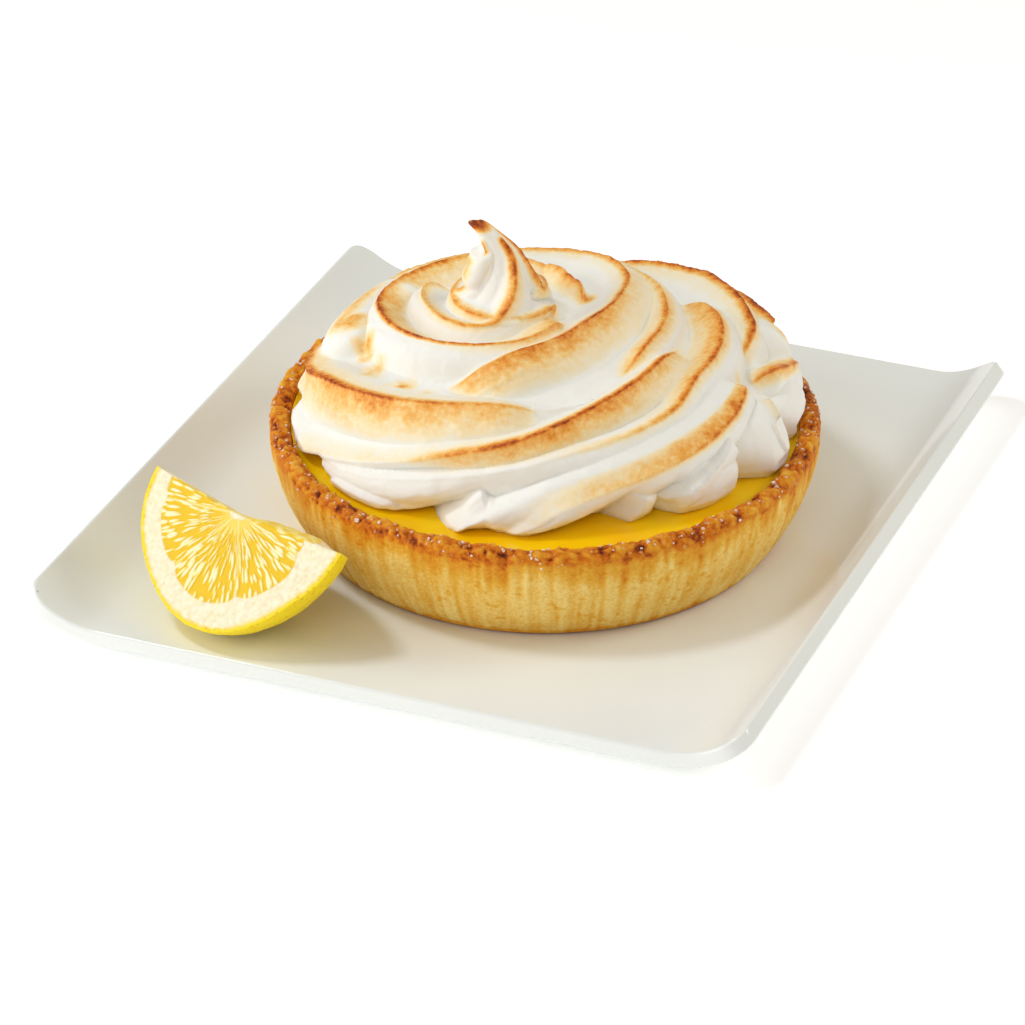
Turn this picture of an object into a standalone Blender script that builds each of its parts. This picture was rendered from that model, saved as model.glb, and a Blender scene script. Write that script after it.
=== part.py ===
# Lemon meringue tart on its square plate, with a lemon wedge beside it.
# Metres, +Z up. The origin is the middle of the plate's foot, on the table.
# +X runs along the plate's straight front edge, and the two curled edges are at -X and +X.

import math

import bmesh
import bpy
import numpy as np
from mathutils import Matrix, Vector

MM = 0.001
GAP = 0.3 * MM                      # space that touching pieces keep

# Plate
PLATE_WIDTH = 175 * MM              # between the crests of the two curled edges
PLATE_DEPTH = 188 * MM
PLATE_SKEW = math.radians(2)        # the sides lean a little to the right, as hand-laid clay does
PLATE_FLOOR = 6 * MM                # top of the flat floor above the table
PLATE_WALL = 3.9 * MM
PLATE_EDGE_ROUND = 1.5 * MM
CURL_HEIGHT = 7.8 * MM              # curled edges above the floor
CURL_WIDTH = 16.5 * MM
CORNER_RADIUS = 5 * MM
FOOT_WIDTH = 136 * MM
FOOT_DEPTH = 181 * MM
FOOT_BAND = 7 * MM
FOOT_CORNER = 8 * MM

# Tart case
TART_X = 4.7 * MM
TART_Y = -4.5 * MM
RIM_RADIUS = 66 * MM
BASE_RADIUS = 57 * MM
CASE_HEIGHT = 26.7 * MM
CASE_WALL = 5 * MM
CASE_FLOOR = 4 * MM
WALL_BELLY = 2.2                    # how early the wall turns up from the base
RIM_ROUGHNESS = 0.45 * MM
CASE_STEPS = 90
CASE_BOTTOM = PLATE_FLOOR + GAP
RIM_TOP = CASE_BOTTOM + CASE_HEIGHT

# Lemon curd
CURD_TOP = RIM_TOP - 2.4 * MM
CURD_MENISCUS = 0.5 * MM

# Lemon wedge: a quarter of a lemon, resting on its peel
WEDGE_CENTRE_X = -45 * MM
WEDGE_CENTRE_Y = -73.6 * MM
WEDGE_RADIUS = 28.3 * MM
WEDGE_LENGTH = 24 * MM                # from the round cut face to the lemon's end
WEDGE_EDGE_AZIMUTH = math.radians(-16.5)
WEDGE_FACE_SLOPE = math.radians(48)
WEDGE_LEFT_RISE = 3.2 * MM            # of the left end of the crease above its middle
# The round face's outline: angle from its right end, round below, and millimetres from the middle
WEDGE_OUTLINE = ((0, 30.2), (17, 29.2), (36, 27.8), (52, 28), (74, 28.7), (107, 28.3), (128, 27.7),
                 (150, 27.6), (180, 26.5))

# Meringue. Each ring is an oval round the swirl, from the hooked tip down to the curd.
# The oval's long axis points where the piping began, at SPREAD_AZIMUTH.
SPREAD_AZIMUTH = math.radians(20.9)
RING_LEVEL = (0, 0.015, 0.04, 0.1, 0.16, 0.22, 0.32, 0.48, 0.64, 0.8, 0.92, 0.97, 1.0)
RING_LONG = (0.4, 1.7, 2.3, 4.3, 8.2, 13.0, 20, 31, 42.5, 52, 56.3, 56.4, 55)
RING_SHORT = (0.4, 1.6, 2.3, 4.2, 8.0, 12.0, 17.5, 27, 37, 45, 48.8, 48.9, 47.5)
RING_HEIGHT = (51.3, 50.6, 47.6, 41.5, 33.5, 28, 25.3, 23.6, 20.3, 14.3, 5, 1.6, 0)
RING_ALONG = (-17.6, -16.4, -13.6, -10.6, -10.2, -10.2, -9.5, -6, -2, 0.8, 1.5, 1.5, 1.5)
RING_ACROSS = (6, 6.2, 6.5, 7, 7, 6.6, 5.8, 4, 2.4, 1.2, 0.8, 0.8, 0.8)
MERINGUE_SEGMENTS = 96
MERINGUE_RINGS = 40
BASE_SHARE = 0.06                   # share of the rings that close the underside

# The lower edge's lobes: azimuth in degrees, and how far out it stands as a share of the lowest oval
SKIRT = (
    (6, 0.97), (10, 1.01), (16, 1.02), (24, 1.03), (30, 1.03), (34, 1.0), (39, 1.04), (48, 1.05),
    (54, 1.01), (60, 1.06), (75, 1.1), (84, 1.08), (90, 1.02), (97, 1.09), (110, 1.13), (120, 1.1),
    (127, 1.04), (134, 1.09), (148, 1.12), (158, 1.08), (165, 1.02), (172, 1.07), (184, 1.09), (190, 1.03),
    (197, 1.06), (203, 1.09), (209, 1.09), (214, 1.07), (217.5, 1.02), (223, 1.05), (230, 1.08),
    (242, 1.1), (248, 1.105), (252, 1.09), (255, 1.06), (259.2, 0.96), (263.8, 1.05), (268, 1.12),
    (271.4, 1.07), (275.3, 1.04), (283, 1.06), (288.5, 1.03), (293, 0.98), (298, 0.92), (301.5, 0.88),
    (304, 0.93), (307.3, 0.99), (311, 0.98), (314, 0.965), (317, 0.94), (321, 1.0), (330, 1.0),
    (338, 0.99), (342, 0.96), (345.5, 0.9), (349, 0.95), (352.4, 1.01), (358, 1.02), (362.5, 1.0),
)
SKIRT_FROM = 0.84                   # levels between which the lobes grow
SKIRT_TO = 0.96
SKIRT_SLANT = 110                   # degrees of azimuth that a cleft leans for each level

# Piped ridges: where the crest runs (azimuth in degrees, level), then in millimetres its height, the
# width of its hollow upper side and of its full lower side, as one value or as even steps along it
RIDGES = (
    dict(path=((340, 0.05), (322, 0.1), (296, 0.163), (263, 0.227), (210, 0.25), (165, 0.33), (140, 0.38)),
         tall=3.6, upper=5, lower=8, from_tip=True),
    dict(path=((247, 0.05), (245, 0.1), (226, 0.14), (170, 0.22)),
         tall=2.2, upper=3, lower=5, from_tip=True),
    dict(path=((62, 0.015), (46, 0.05), (25, 0.1), (8, 0.16), (356, 0.2), (345, 0.24)),
         tall=2.2, upper=4, lower=6, from_tip=True),
    dict(path=((105, 0.467), (90, 0.427), (76, 0.37), (66, 0.353), (56, 0.363)),
         tall=2.8, upper=4, lower=5),
    dict(path=((367, 0.29), (337, 0.25), (302, 0.3), (270, 0.34), (237, 0.395), (203, 0.46), (174, 0.52),
               (140, 0.53), (100, 0.46), (56, 0.36)),
         tall=4.4, upper=8, lower=9),
    dict(path=((196, 0.72), (165, 0.68), (130, 0.63), (98, 0.61), (66, 0.5), (34, 0.39), (-10, 0.315),
               (-57, 0.357), (-86, 0.45), (-104, 0.55)),
         tall=4.8, upper=10, lower=11),
    dict(path=((289, 0.58), (295, 0.607), (308, 0.6), (313, 0.573)),
         tall=2.6, upper=2.5, lower=4),
    dict(path=((100, 0.6), (66, 0.557), (31, 0.507), (-1, 0.49), (-28, 0.513)),
         tall=3.8, upper=7, lower=9),
    dict(path=((50, 0.55), (40, 0.61), (12, 0.627), (-11, 0.637), (-32, 0.7), (-48, 0.735), (-64, 0.767),
               (-78, 0.81), (-98, 0.857), (-113, 0.887), (-131, 0.915)),
         tall=(4.6, 5, 5, 5, 4.4, 3.4, 2.8, 2.6, 2.6, 2.6, 2.2), upper=(9, 9, 9, 8, 7, 5, 5, 4),
         lower=(11, 10, 8, 7, 6), to_edge=True),
    dict(path=((14, 0.56), (-10, 0.55), (-30, 0.575), (-49, 0.62), (-78, 0.737), (-96, 0.8), (-107, 0.84),
               (-126, 0.893), (-142, 0.94)),
         tall=(4.6, 4.6, 4.8, 4.8, 4.6, 4.4, 4, 3.6, 3.2), upper=8, lower=(11, 11, 10, 8, 6),
         to_edge=True),
    dict(path=((300, 0.61), (276, 0.617), (240, 0.693), (218, 0.75), (203, 0.807), (184, 0.83),
               (160, 0.85)),
         tall=(5, 5, 5, 5, 5, 3.4, 2), upper=9, lower=12),
    dict(path=((-2, 0.735), (-14, 0.77), (-34, 0.815), (-46, 0.84), (-58, 0.865), (-68, 0.895),
               (-78, 0.96)),
         tall=(3.8, 5, 5, 4.6, 4.2, 3.8, 3.4), upper=(7, 8, 8, 7, 7), lower=(9, 8, 7), to_edge=True,
         round=True),
    dict(path=((-84, 0.868), (-88, 0.9), (-91, 0.94), (-93, 1.0)),
         tall=3.0, upper=4, lower=5, to_edge=True),
    dict(path=((130, 0.8), (100, 0.75), (71, 0.735), (48, 0.755), (24, 0.72), (11, 0.7)),
         tall=6.0, upper=9, lower=10),
    dict(path=((78, 0.83), (60, 0.785), (52, 0.787), (42, 0.83), (33, 0.87)),
         tall=4.2, upper=6, lower=8),
    dict(path=((4, 0.745), (18, 0.81), (32, 0.883), (38, 0.93)),
         tall=4.4, upper=5, lower=7),
    dict(path=((357, 0.785), (355, 0.835), (355, 0.885), (358, 0.925)),
         tall=5.2, upper=4, lower=4.5),
    dict(path=((339, 0.81), (334, 0.845), (325, 0.885), (315, 0.925)),
         tall=4.8, upper=2.2, lower=9),
    dict(path=((150, 0.94), (110, 0.92), (80, 0.9), (58, 0.88)),
         tall=3.6, upper=8, lower=8),
)
# Petals round the star where the piping began, and lobes along the lower edge: (azimuth, level) of the
# two ends, height, half width
PETALS = (
    ((22, 0.8), (46, 0.93), 4.0, 8),
    ((14, 0.79), (21, 0.98), 3.6, 11),
    ((353, 0.77), (357, 0.99), 4.4, 8.2),
    ((346, 0.79), (345, 0.97), 3.4, 3.6),
    ((338, 0.84), (331, 0.98), 4.0, 11.5),
    ((312, 0.87), (308, 0.98), 3.0, 7),
    ((285, 0.91), (283, 0.99), 2.4, 12),
    ((236, 0.93), (240, 0.99), 2.4, 14),
    ((206, 0.88), (206, 0.99), 2.8, 9),
    ((155, 0.58), (193, 0.69), 5.0, 8.5),
    ((146, 0.88), (146, 0.98), 3.0, 15),
    ((109, 0.88), (109, 0.98), 3.0, 14),
    ((72, 0.88), (72, 0.98), 3.0, 13),
)
CREST_SAMPLES = 60
LEAN = 0.3                          # how far crests lean over their lower side
BLEND = 0.45                        # millimetres over which one ridge takes over from another
SINK = 1.5                          # millimetres that the valleys lie below the dome
VALLEY_BELOW = 3.2                  # a valley is where the ridges are lower than this, in millimetres


def clear_scene():
    for thing in list(bpy.data.objects):
        bpy.data.objects.remove(thing, do_unlink=True)


def new_collection(name):
    made = bpy.data.collections.new(name)
    bpy.context.scene.collection.children.link(made)
    return made


def finish(name, colour, roughness, metallic=0.0):
    made = bpy.data.materials.new(name)
    made.use_nodes = True
    shader = made.node_tree.nodes["Principled BSDF"]
    shader.inputs["Base Color"].default_value = (*colour, 1)
    shader.inputs["Roughness"].default_value = roughness
    shader.inputs["Metallic"].default_value = metallic
    return made


def add_object(name, mesh, material, collection):
    made = bpy.data.objects.new(name, mesh)
    collection.objects.link(made)
    if material is not None:
        mesh.materials.clear()
        mesh.materials.append(material)
    return made


def mesh_from(bm, name):
    mesh = bpy.data.meshes.new(name)
    bm.to_mesh(mesh)
    bm.free()
    return mesh


def smooth_step(t):
    t = np.clip(t, 0, 1)
    return t * t * (3 - 2 * t)


def rounded_square(a, b, corner):
    """Moves a point of the square -1..1 so that each ring of it has round corners."""
    ring = max(abs(a), abs(b))
    if ring == 0:
        return 0.0, 0.0
    radius = corner * ring
    p = (abs(a) - (ring - radius)) / radius
    q = (abs(b) - (ring - radius)) / radius
    if p <= 0 or q <= 0:
        return a, b
    turn = math.pi / 4 * q if p >= q else math.pi / 2 - math.pi / 4 * p
    x = ring - radius + radius * math.cos(turn)
    y = ring - radius + radius * math.sin(turn)
    return math.copysign(x, a), math.copysign(y, b)


def plate_lines():
    """Grid lines from the middle to the edge, closer together where the plate curls."""
    half = (0, 0.4, 0.74, 0.82, 0.86, 0.90, 0.935, 0.97, 1.0)
    return [-v for v in reversed(half[1:])] + list(half)


def plate_point(a, b):
    x, y = rounded_square(a, b, 2 * CORNER_RADIUS / PLATE_WIDTH)
    x *= PLATE_WIDTH / 2
    y *= PLATE_DEPTH / 2
    into_curl = max(0.0, abs(x) - (PLATE_WIDTH / 2 - CURL_WIDTH)) / CURL_WIDTH
    return Vector((x + y * math.tan(PLATE_SKEW), y, PLATE_FLOOR + CURL_HEIGHT * into_curl ** 1.9))


def make_plate(collection, cutters):
    lines = plate_lines()
    bm = bmesh.new()
    bmesh.ops.create_grid(bm, x_segments=len(lines) - 1, y_segments=len(lines) - 1, size=1)
    steps = len(lines) - 1
    for v in bm.verts:
        a = lines[round((v.co.x + 1) / 2 * steps)]
        b = lines[round((v.co.y + 1) / 2 * steps)]
        v.co = plate_point(a, b)
    porcelain = finish("porcelain", (0.80, 0.79, 0.73), 0.18)
    plate = add_object("plate", mesh_from(bm, "plate"), porcelain, collection)
    shell = plate.modifiers.new("wall", "SOLIDIFY")
    shell.thickness = PLATE_WALL
    shell.offset = -1
    edge = plate.modifiers.new("soft_edge", "BEVEL")
    edge.width = PLATE_EDGE_ROUND
    edge.segments = 2
    edge.limit_method = "ANGLE"
    edge.angle_limit = math.radians(50)

    bm = bmesh.new()
    bmesh.ops.create_cube(bm, size=1)
    bmesh.ops.scale(bm, vec=(FOOT_WIDTH, FOOT_DEPTH, 3 * MM), verts=bm.verts)
    corners = [e for e in bm.edges if abs(e.verts[0].co.z - e.verts[1].co.z) > MM]
    bmesh.ops.bevel(bm, geom=corners, offset=FOOT_CORNER, segments=6, profile=0.5, affect="EDGES")
    foot = add_object("foot", mesh_from(bm, "foot"), None, cutters)
    foot.location.z = 1.5 * MM
    recess = foot.copy()
    recess.data = foot.data.copy()
    recess.name = "foot_recess"
    recess.scale = (1 - 2 * FOOT_BAND / FOOT_WIDTH, 1 - 2 * FOOT_BAND / FOOT_DEPTH, 1.5)
    cutters.objects.link(recess)
    hollow = foot.modifiers.new("recess", "BOOLEAN")
    hollow.operation = "DIFFERENCE"
    hollow.solver = "MANIFOLD"
    hollow.object = recess
    join = plate.modifiers.new("foot", "BOOLEAN")
    join.operation = "UNION"
    join.solver = "MANIFOLD"
    join.object = foot
    for cutter in (foot, recess):
        cutter.hide_render = True
        cutter.display_type = "WIRE"
    return plate


def wall_radius(z):
    """Outer radius of the tart case at a height above the table."""
    share = min(max((z - CASE_BOTTOM) / CASE_HEIGHT, 0), 1)
    return BASE_RADIUS + (RIM_RADIUS - BASE_RADIUS) * (1 - (1 - share) ** WALL_BELLY)


def inner_radius(z):
    return wall_radius(z) - CASE_WALL


def turned(name, profile, material, collection, steps):
    """A closed turned solid. The profile runs from the axis, top to bottom down its outer side."""
    bm = bmesh.new()
    made = [bm.verts.new((r, 0, z)) for r, z in profile]
    for first, second in zip(made, made[1:]):
        bm.edges.new((first, second))
    piece = add_object(name, mesh_from(bm, name), material, collection)
    screw = piece.modifiers.new("turn", "SCREW")
    screw.steps = steps
    screw.render_steps = steps
    screw.use_merge_vertices = True
    screw.merge_threshold = 0.00002
    return piece


def case_profile():
    lip = CASE_WALL / 2
    inside = [(0, CASE_BOTTOM + CASE_FLOOR)]
    wall_rows = 5
    low = CASE_BOTTOM + CASE_FLOOR
    high = RIM_TOP - lip
    heights = [low + (high - low) * i / wall_rows for i in range(wall_rows + 1)]
    inside += [(inner_radius(z), z) for z in heights]
    middle = wall_radius(high) - lip
    rim = [(middle + lip * math.cos(t), high + lip * math.sin(t))
           for t in (math.radians(d) for d in (144, 108, 72, 36))]
    outside = [(wall_radius(z), z) for z in reversed(heights)]
    foot = [(BASE_RADIUS + 1.2 * MM, CASE_BOTTOM + 1.0 * MM), (BASE_RADIUS - 1 * MM, CASE_BOTTOM),
            (0, CASE_BOTTOM)]
    return inside + rim + outside + foot


def rim_wave(angle):
    """Uneven height of the hand-pressed rim, -1 to 1."""
    waves = ((7, 0.3, 0.5), (13, 1.9, 0.3), (29, 4.1, 0.35), (43, 0.7, 0.25))
    return sum(size * math.sin(n * angle + shift) for n, shift, size in waves)


def make_case(collection):
    shortcrust = finish("shortcrust", (0.62, 0.36, 0.10), 0.75)
    case = turned("tart_case", case_profile(), shortcrust, collection, CASE_STEPS)
    case.location = (TART_X, TART_Y, 0)
    graph = bpy.context.evaluated_depsgraph_get()
    mesh = bpy.data.meshes.new_from_object(case.evaluated_get(graph))
    case.modifiers.clear()
    case.data = mesh
    for v in mesh.vertices:
        near_rim = smooth_step((v.co.z - (RIM_TOP - 4 * MM)) / (4 * MM))
        angle = math.atan2(v.co.y, v.co.x)
        v.co.z += RIM_ROUGHNESS * near_rim * rim_wave(angle)
    return case


def make_curd(collection):
    low = CASE_BOTTOM + CASE_FLOOR + GAP
    rows = 5
    heights = [low + (CURD_TOP - low) * i / rows for i in range(rows, -1, -1)]
    side = [(inner_radius(z) - GAP, z) for z in heights]
    edge = inner_radius(CURD_TOP) - GAP
    top = [(0, CURD_TOP - CURD_MENISCUS), (edge - 6 * MM, CURD_TOP - CURD_MENISCUS),
           (edge - 1.5 * MM, CURD_TOP - 0.5 * CURD_MENISCUS)]
    glossy = finish("curd", (0.75, 0.42, 0.01), 0.12)
    curd = turned("lemon_curd", top + side + [(0, low)], glossy, collection, CASE_STEPS)
    curd.location = (TART_X, TART_Y, 0)
    return curd


def make_wedge(collection):
    bm = bmesh.new()
    bmesh.ops.create_uvsphere(bm, u_segments=36, v_segments=24, radius=1)
    bmesh.ops.scale(bm, vec=(WEDGE_RADIUS, WEDGE_LENGTH, WEDGE_RADIUS), verts=bm.verts)
    for plane in ((0, 1, 0), (0, 0, -1)):
        everything = bm.verts[:] + bm.edges[:] + bm.faces[:]
        cut = bmesh.ops.bisect_plane(bm, geom=everything, plane_co=(0, 0, 0), plane_no=plane,
                                     clear_inner=True, dist=1e-7)
        rim = [e for e in cut["geom_cut"] if isinstance(e, bmesh.types.BMEdge)]
        bmesh.ops.holes_fill(bm, edges=rim, sides=0)
    # A line across the middle lets the crease bend there
    bmesh.ops.bisect_plane(bm, geom=bm.verts[:] + bm.edges[:] + bm.faces[:], plane_co=(0, 0, 0),
                           plane_no=(1, 0, 0), dist=1e-7)
    angles, reach = zip(*WEDGE_OUTLINE)
    for v in bm.verts:
        below = math.hypot(v.co.z, v.co.y * WEDGE_RADIUS / WEDGE_LENGTH)
        share = float(through(math.degrees(math.atan2(below, v.co.x)), angles, reach)) * MM / WEDGE_RADIUS
        v.co.x *= share
        v.co.z *= share
        v.co.z += WEDGE_LEFT_RISE * (max(0.0, -v.co.x) / WEDGE_RADIUS) ** 1.3
    bmesh.ops.recalc_face_normals(bm, faces=bm.faces)
    lemon = finish("lemon", (0.85, 0.62, 0.04), 0.4)
    wedge = add_object("lemon_wedge", mesh_from(bm, "lemon_wedge"), lemon, collection)
    # Local +Y goes into the wedge from its round face, and local -Z down that face
    turn = Matrix.Rotation(WEDGE_EDGE_AZIMUTH, 4, "Z")
    turn = turn @ Matrix.Rotation(WEDGE_FACE_SLOPE - math.pi / 2, 4, "X")
    lowest = min((turn @ v.co).z for v in wedge.data.vertices)
    height = PLATE_FLOOR + GAP - lowest
    wedge.matrix_world = Matrix.Translation((WEDGE_CENTRE_X, WEDGE_CENTRE_Y, height)) @ turn
    return wedge


def through(x, xs, ys):
    """Smooth curve through the points, with no overshoot (monotone cubic)."""
    xs = np.asarray(xs, float)
    ys = np.asarray(ys, float)
    step = np.diff(xs)
    slope = np.diff(ys) / step
    tangent = np.zeros_like(ys)
    both = slope[:-1] * slope[1:] > 0
    w1 = 2 * step[1:] + step[:-1]
    w2 = step[1:] + 2 * step[:-1]
    safe = np.where(both, slope[:-1] * slope[1:], 1)
    mean = (w1 + w2) * safe / np.where(both, w1 * slope[1:] + w2 * slope[:-1], 1)
    tangent[1:-1] = np.where(both, mean, 0)
    tangent[0] = slope[0]
    tangent[-1] = slope[-1]
    i = np.clip(np.searchsorted(xs, x, side="right") - 1, 0, len(step) - 1)
    t = (np.clip(x, xs[0], xs[-1]) - xs[i]) / step[i]
    h00 = 2 * t ** 3 - 3 * t ** 2 + 1
    h10 = t ** 3 - 2 * t ** 2 + t
    h01 = 3 * t ** 2 - 2 * t ** 3
    h11 = t ** 3 - t ** 2
    return h00 * ys[i] + h10 * step[i] * tangent[i] + h01 * ys[i + 1] + h11 * step[i] * tangent[i + 1]


def dome_point(azimuth, level):
    """Places points of the plain dome, in millimetres from the curd's middle."""
    long = through(level, RING_LEVEL, RING_LONG)
    short = through(level, RING_LEVEL, RING_SHORT)
    along = through(level, RING_LEVEL, RING_ALONG) + long * np.cos(azimuth - SPREAD_AZIMUTH)
    across = through(level, RING_LEVEL, RING_ACROSS) + short * np.sin(azimuth - SPREAD_AZIMUTH)
    c, s = math.cos(SPREAD_AZIMUTH), math.sin(SPREAD_AZIMUTH)
    return np.stack([along * c - across * s, along * s + across * c,
                     through(level, RING_LEVEL, RING_HEIGHT)], -1)


def dome_frame(azimuth, level):
    """The dome's point, its outward normal and its downhill direction."""
    small = 1e-3
    point = dome_point(azimuth, level)
    down = dome_point(azimuth, np.minimum(level + small, 1))
    down = down - dome_point(azimuth, np.maximum(level - small, 0))
    round_ = dome_point(azimuth + small, level) - dome_point(azimuth - small, level)
    normal = np.cross(down, round_)
    normal /= np.linalg.norm(normal, axis=-1, keepdims=True) + 1e-12
    down /= np.linalg.norm(down, axis=-1, keepdims=True) + 1e-12
    return point, normal, down


def crest_line(knots):
    """Points along a crest on the dome, its direction and the direction of its lower side."""
    azimuth = np.radians([k[0] for k in knots])
    level = np.array([k[1] for k in knots])
    marks = np.linspace(0, 1, len(knots))
    share = np.linspace(0, 1, CREST_SAMPLES)
    point, normal, down = dome_frame(through(share, marks, azimuth), through(share, marks, level))
    ahead = np.gradient(point, axis=0)
    ahead /= np.linalg.norm(ahead, axis=-1, keepdims=True)
    side = np.cross(normal, ahead)
    side *= np.sign(np.sum(side * down, -1, keepdims=True) + 1e-9)
    return point, ahead, side


def nearest(points, crest, ahead, side):
    """Signed distance from a crest, the share of its length where it is nearest, and its sample there."""
    gap = points[:, None, :] - crest[None, :, :]
    i = np.einsum("ijk,ijk->ij", gap, gap).argmin(1)
    gap = gap[np.arange(len(points)), i]
    spacing = np.linalg.norm(np.gradient(crest, axis=0), axis=1)[i]
    slide = np.clip(np.sum(gap * ahead[i], -1), np.where(i == 0, 0, -spacing),
                    np.where(i == len(crest) - 1, 0, spacing))
    gap = gap - ahead[i] * slide[:, None]
    sign = np.where(np.sum(gap * side[i], -1) >= 0, 1, -1)
    share = (i + slide / spacing) / (len(crest) - 1)
    return sign * np.linalg.norm(gap, axis=1), share, i


def spread(values, share):
    """A value along a crest, from even steps."""
    values = np.atleast_1d(values)
    return np.interp(share, np.linspace(0, 1, len(values)), values)


def meringue_relief(azimuth, level):
    """The dome's points and normals, the height of the piped ridges there and their lean."""
    point, normal, _ = dome_frame(azimuth, level)
    slim = np.clip(through(level, RING_LEVEL, RING_SHORT) / 11, 0.05, 1)
    height = np.zeros(len(point))
    lean = np.zeros_like(point)
    weights = np.ones(len(point))
    for ridge in RIDGES:
        crest, ahead, side = crest_line(ridge["path"])
        away, share, i = nearest(point, crest, ahead, side)
        fade = 1 if ridge.get("to_edge") else smooth_step((1 - share) / 0.2)
        if not ridge.get("from_tip"):
            fade = fade * smooth_step(share / 0.16)
        below = np.clip(away / (spread(ridge["lower"], share) * slim), 0, 1)
        above = np.clip(-away / (spread(ridge["upper"], share) * slim), 0, 1)
        upper_side = np.sqrt(1 - above ** 2) if ridge.get("round") else (1 - above) ** 2
        shape = np.where(away >= 0, 1 - 0.25 * below - 0.75 * below ** 2, upper_side)
        rise = spread(ridge["tall"], share) * slim * fade * shape
        weight = np.exp(rise / BLEND) - 1
        lean += side[i] * (weight * LEAN * rise * shape ** 2)[:, None]
        weights += weight
        height = np.maximum(height, rise)
    for first, last, tall, half in PETALS:
        crest, ahead, side = crest_line((first, last))
        away, share, i = nearest(point, crest, ahead, side)
        rise = tall * smooth_step(0.15 + share / 0.35) * np.sqrt(np.clip(1 - (away / half) ** 2, 0, 1))
        weights += np.exp(rise / BLEND) - 1
        height = np.maximum(height, rise)
    valley = smooth_step((level - 0.2) / 0.1) * smooth_step((1 - level) / 0.1)
    valley = valley * (1 - smooth_step(height / VALLEY_BELOW))
    return point, normal, height - SINK * valley, lean / weights[:, None]


def skirt_share(azimuth, level):
    """How far the lower edge stands out. The clefts slant with the piping, except near the star."""
    degrees = np.degrees(azimuth) % 360
    slant = smooth_step((degrees - 150) / 40) * smooth_step((335 - degrees) / 40)
    edge = np.interp(degrees - SKIRT_SLANT * slant * (1 - level), *zip(*SKIRT), period=360)
    return 1 + (edge - 1) * smooth_step((level - SKIRT_FROM) / (SKIRT_TO - SKIRT_FROM))


def make_meringue(collection):
    bm = bmesh.new()
    bmesh.ops.create_uvsphere(bm, u_segments=MERINGUE_SEGMENTS, v_segments=MERINGUE_RINGS, radius=1)
    bm.verts.ensure_lookup_table()
    ball = np.array([v.co for v in bm.verts])
    share = np.arccos(np.clip(ball[:, 2], -1, 1)) / math.pi
    azimuth = np.arctan2(ball[:, 1], ball[:, 0])
    side = share <= 1 - BASE_SHARE + 1e-6
    level = np.clip(share / (1 - BASE_SHARE), 0, 1)
    point, normal, height, lean = meringue_relief(azimuth, level)
    settle = smooth_step((1 - level) / 0.05)[:, None]
    place = point + normal * height[:, None] * (0.25 + 0.75 * settle) + lean * settle
    middle = dome_point(np.array([0, math.pi]), np.array([1, 1])).mean(0)[:2]
    place[:, :2] = middle + (place[:, :2] - middle) * skirt_share(azimuth, level)[:, None]
    # Rings past the lower edge close the flat underside
    inward = np.clip((share - (1 - BASE_SHARE)) / BASE_SHARE, 0, 1)
    place[:, :2] *= np.where(side, 1, 1 - inward)[:, None]
    place[:, 2] = np.where(level >= 1 - 1e-6, 0, np.maximum(place[:, 2], 0.3))
    # Low parts stay inside the rim of the case
    room = (inner_radius(CURD_TOP) - 1.0 * MM) / MM
    reach = np.linalg.norm(place[:, :2], axis=1)
    low = place[:, 2] < (RIM_TOP - CURD_TOP) / MM + 1.5
    squeeze = np.where(low & (reach > room), room / np.maximum(reach, 1), 1)
    place[:, :2] *= squeeze[:, None]
    for v, co in zip(bm.verts, place):
        v.co = Vector(co) * MM
    bmesh.ops.remove_doubles(bm, verts=bm.verts, dist=0.00001)
    foam = finish("meringue", (0.92, 0.88, 0.78), 0.6)
    meringue = add_object("meringue", mesh_from(bm, "meringue"), foam, collection)
    meringue.location = (TART_X, TART_Y, CURD_TOP + GAP)
    return meringue


def shade(pieces):
    for piece in pieces:
        piece.data.shade_smooth()
        piece.data.set_sharp_from_angle(angle=math.radians(40))


def main():
    clear_scene()
    parts = new_collection("lemon_meringue_pie")
    cutters = new_collection("cutters")
    pieces = [make_plate(parts, cutters), make_case(parts), make_curd(parts),
              make_meringue(parts), make_wedge(parts)]
    bpy.context.view_layer.update()
    shade(pieces)


main()
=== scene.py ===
import math
from functools import partial

import bmesh
import bpy
import numpy as np
from mathutils import Matrix, Vector


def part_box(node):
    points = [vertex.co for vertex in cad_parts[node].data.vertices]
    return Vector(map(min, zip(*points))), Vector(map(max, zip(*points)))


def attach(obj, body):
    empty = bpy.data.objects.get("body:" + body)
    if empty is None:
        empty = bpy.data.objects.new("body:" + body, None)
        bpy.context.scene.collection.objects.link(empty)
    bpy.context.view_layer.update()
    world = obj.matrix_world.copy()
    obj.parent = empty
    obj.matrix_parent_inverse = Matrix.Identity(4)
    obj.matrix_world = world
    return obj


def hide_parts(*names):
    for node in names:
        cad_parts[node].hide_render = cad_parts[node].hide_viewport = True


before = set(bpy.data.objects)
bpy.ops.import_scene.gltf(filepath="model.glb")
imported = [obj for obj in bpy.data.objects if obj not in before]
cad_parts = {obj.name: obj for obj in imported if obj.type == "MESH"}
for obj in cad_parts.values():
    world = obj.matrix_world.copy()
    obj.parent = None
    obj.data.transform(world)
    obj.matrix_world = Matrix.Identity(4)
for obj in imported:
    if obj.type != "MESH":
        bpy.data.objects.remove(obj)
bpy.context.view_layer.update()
print("frame loaded:", ", ".join(sorted(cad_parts)))

mm = 0.001


# Numbers that every piece uses

def boxMm(node):
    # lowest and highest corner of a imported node, in millimetres
    low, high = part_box(node)
    return np.array(low) / mm, np.array(high) / mm


def smoothStep(t):
    t = np.clip(t, 0, 1)
    return t * t * (3 - 2 * t)


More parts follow.
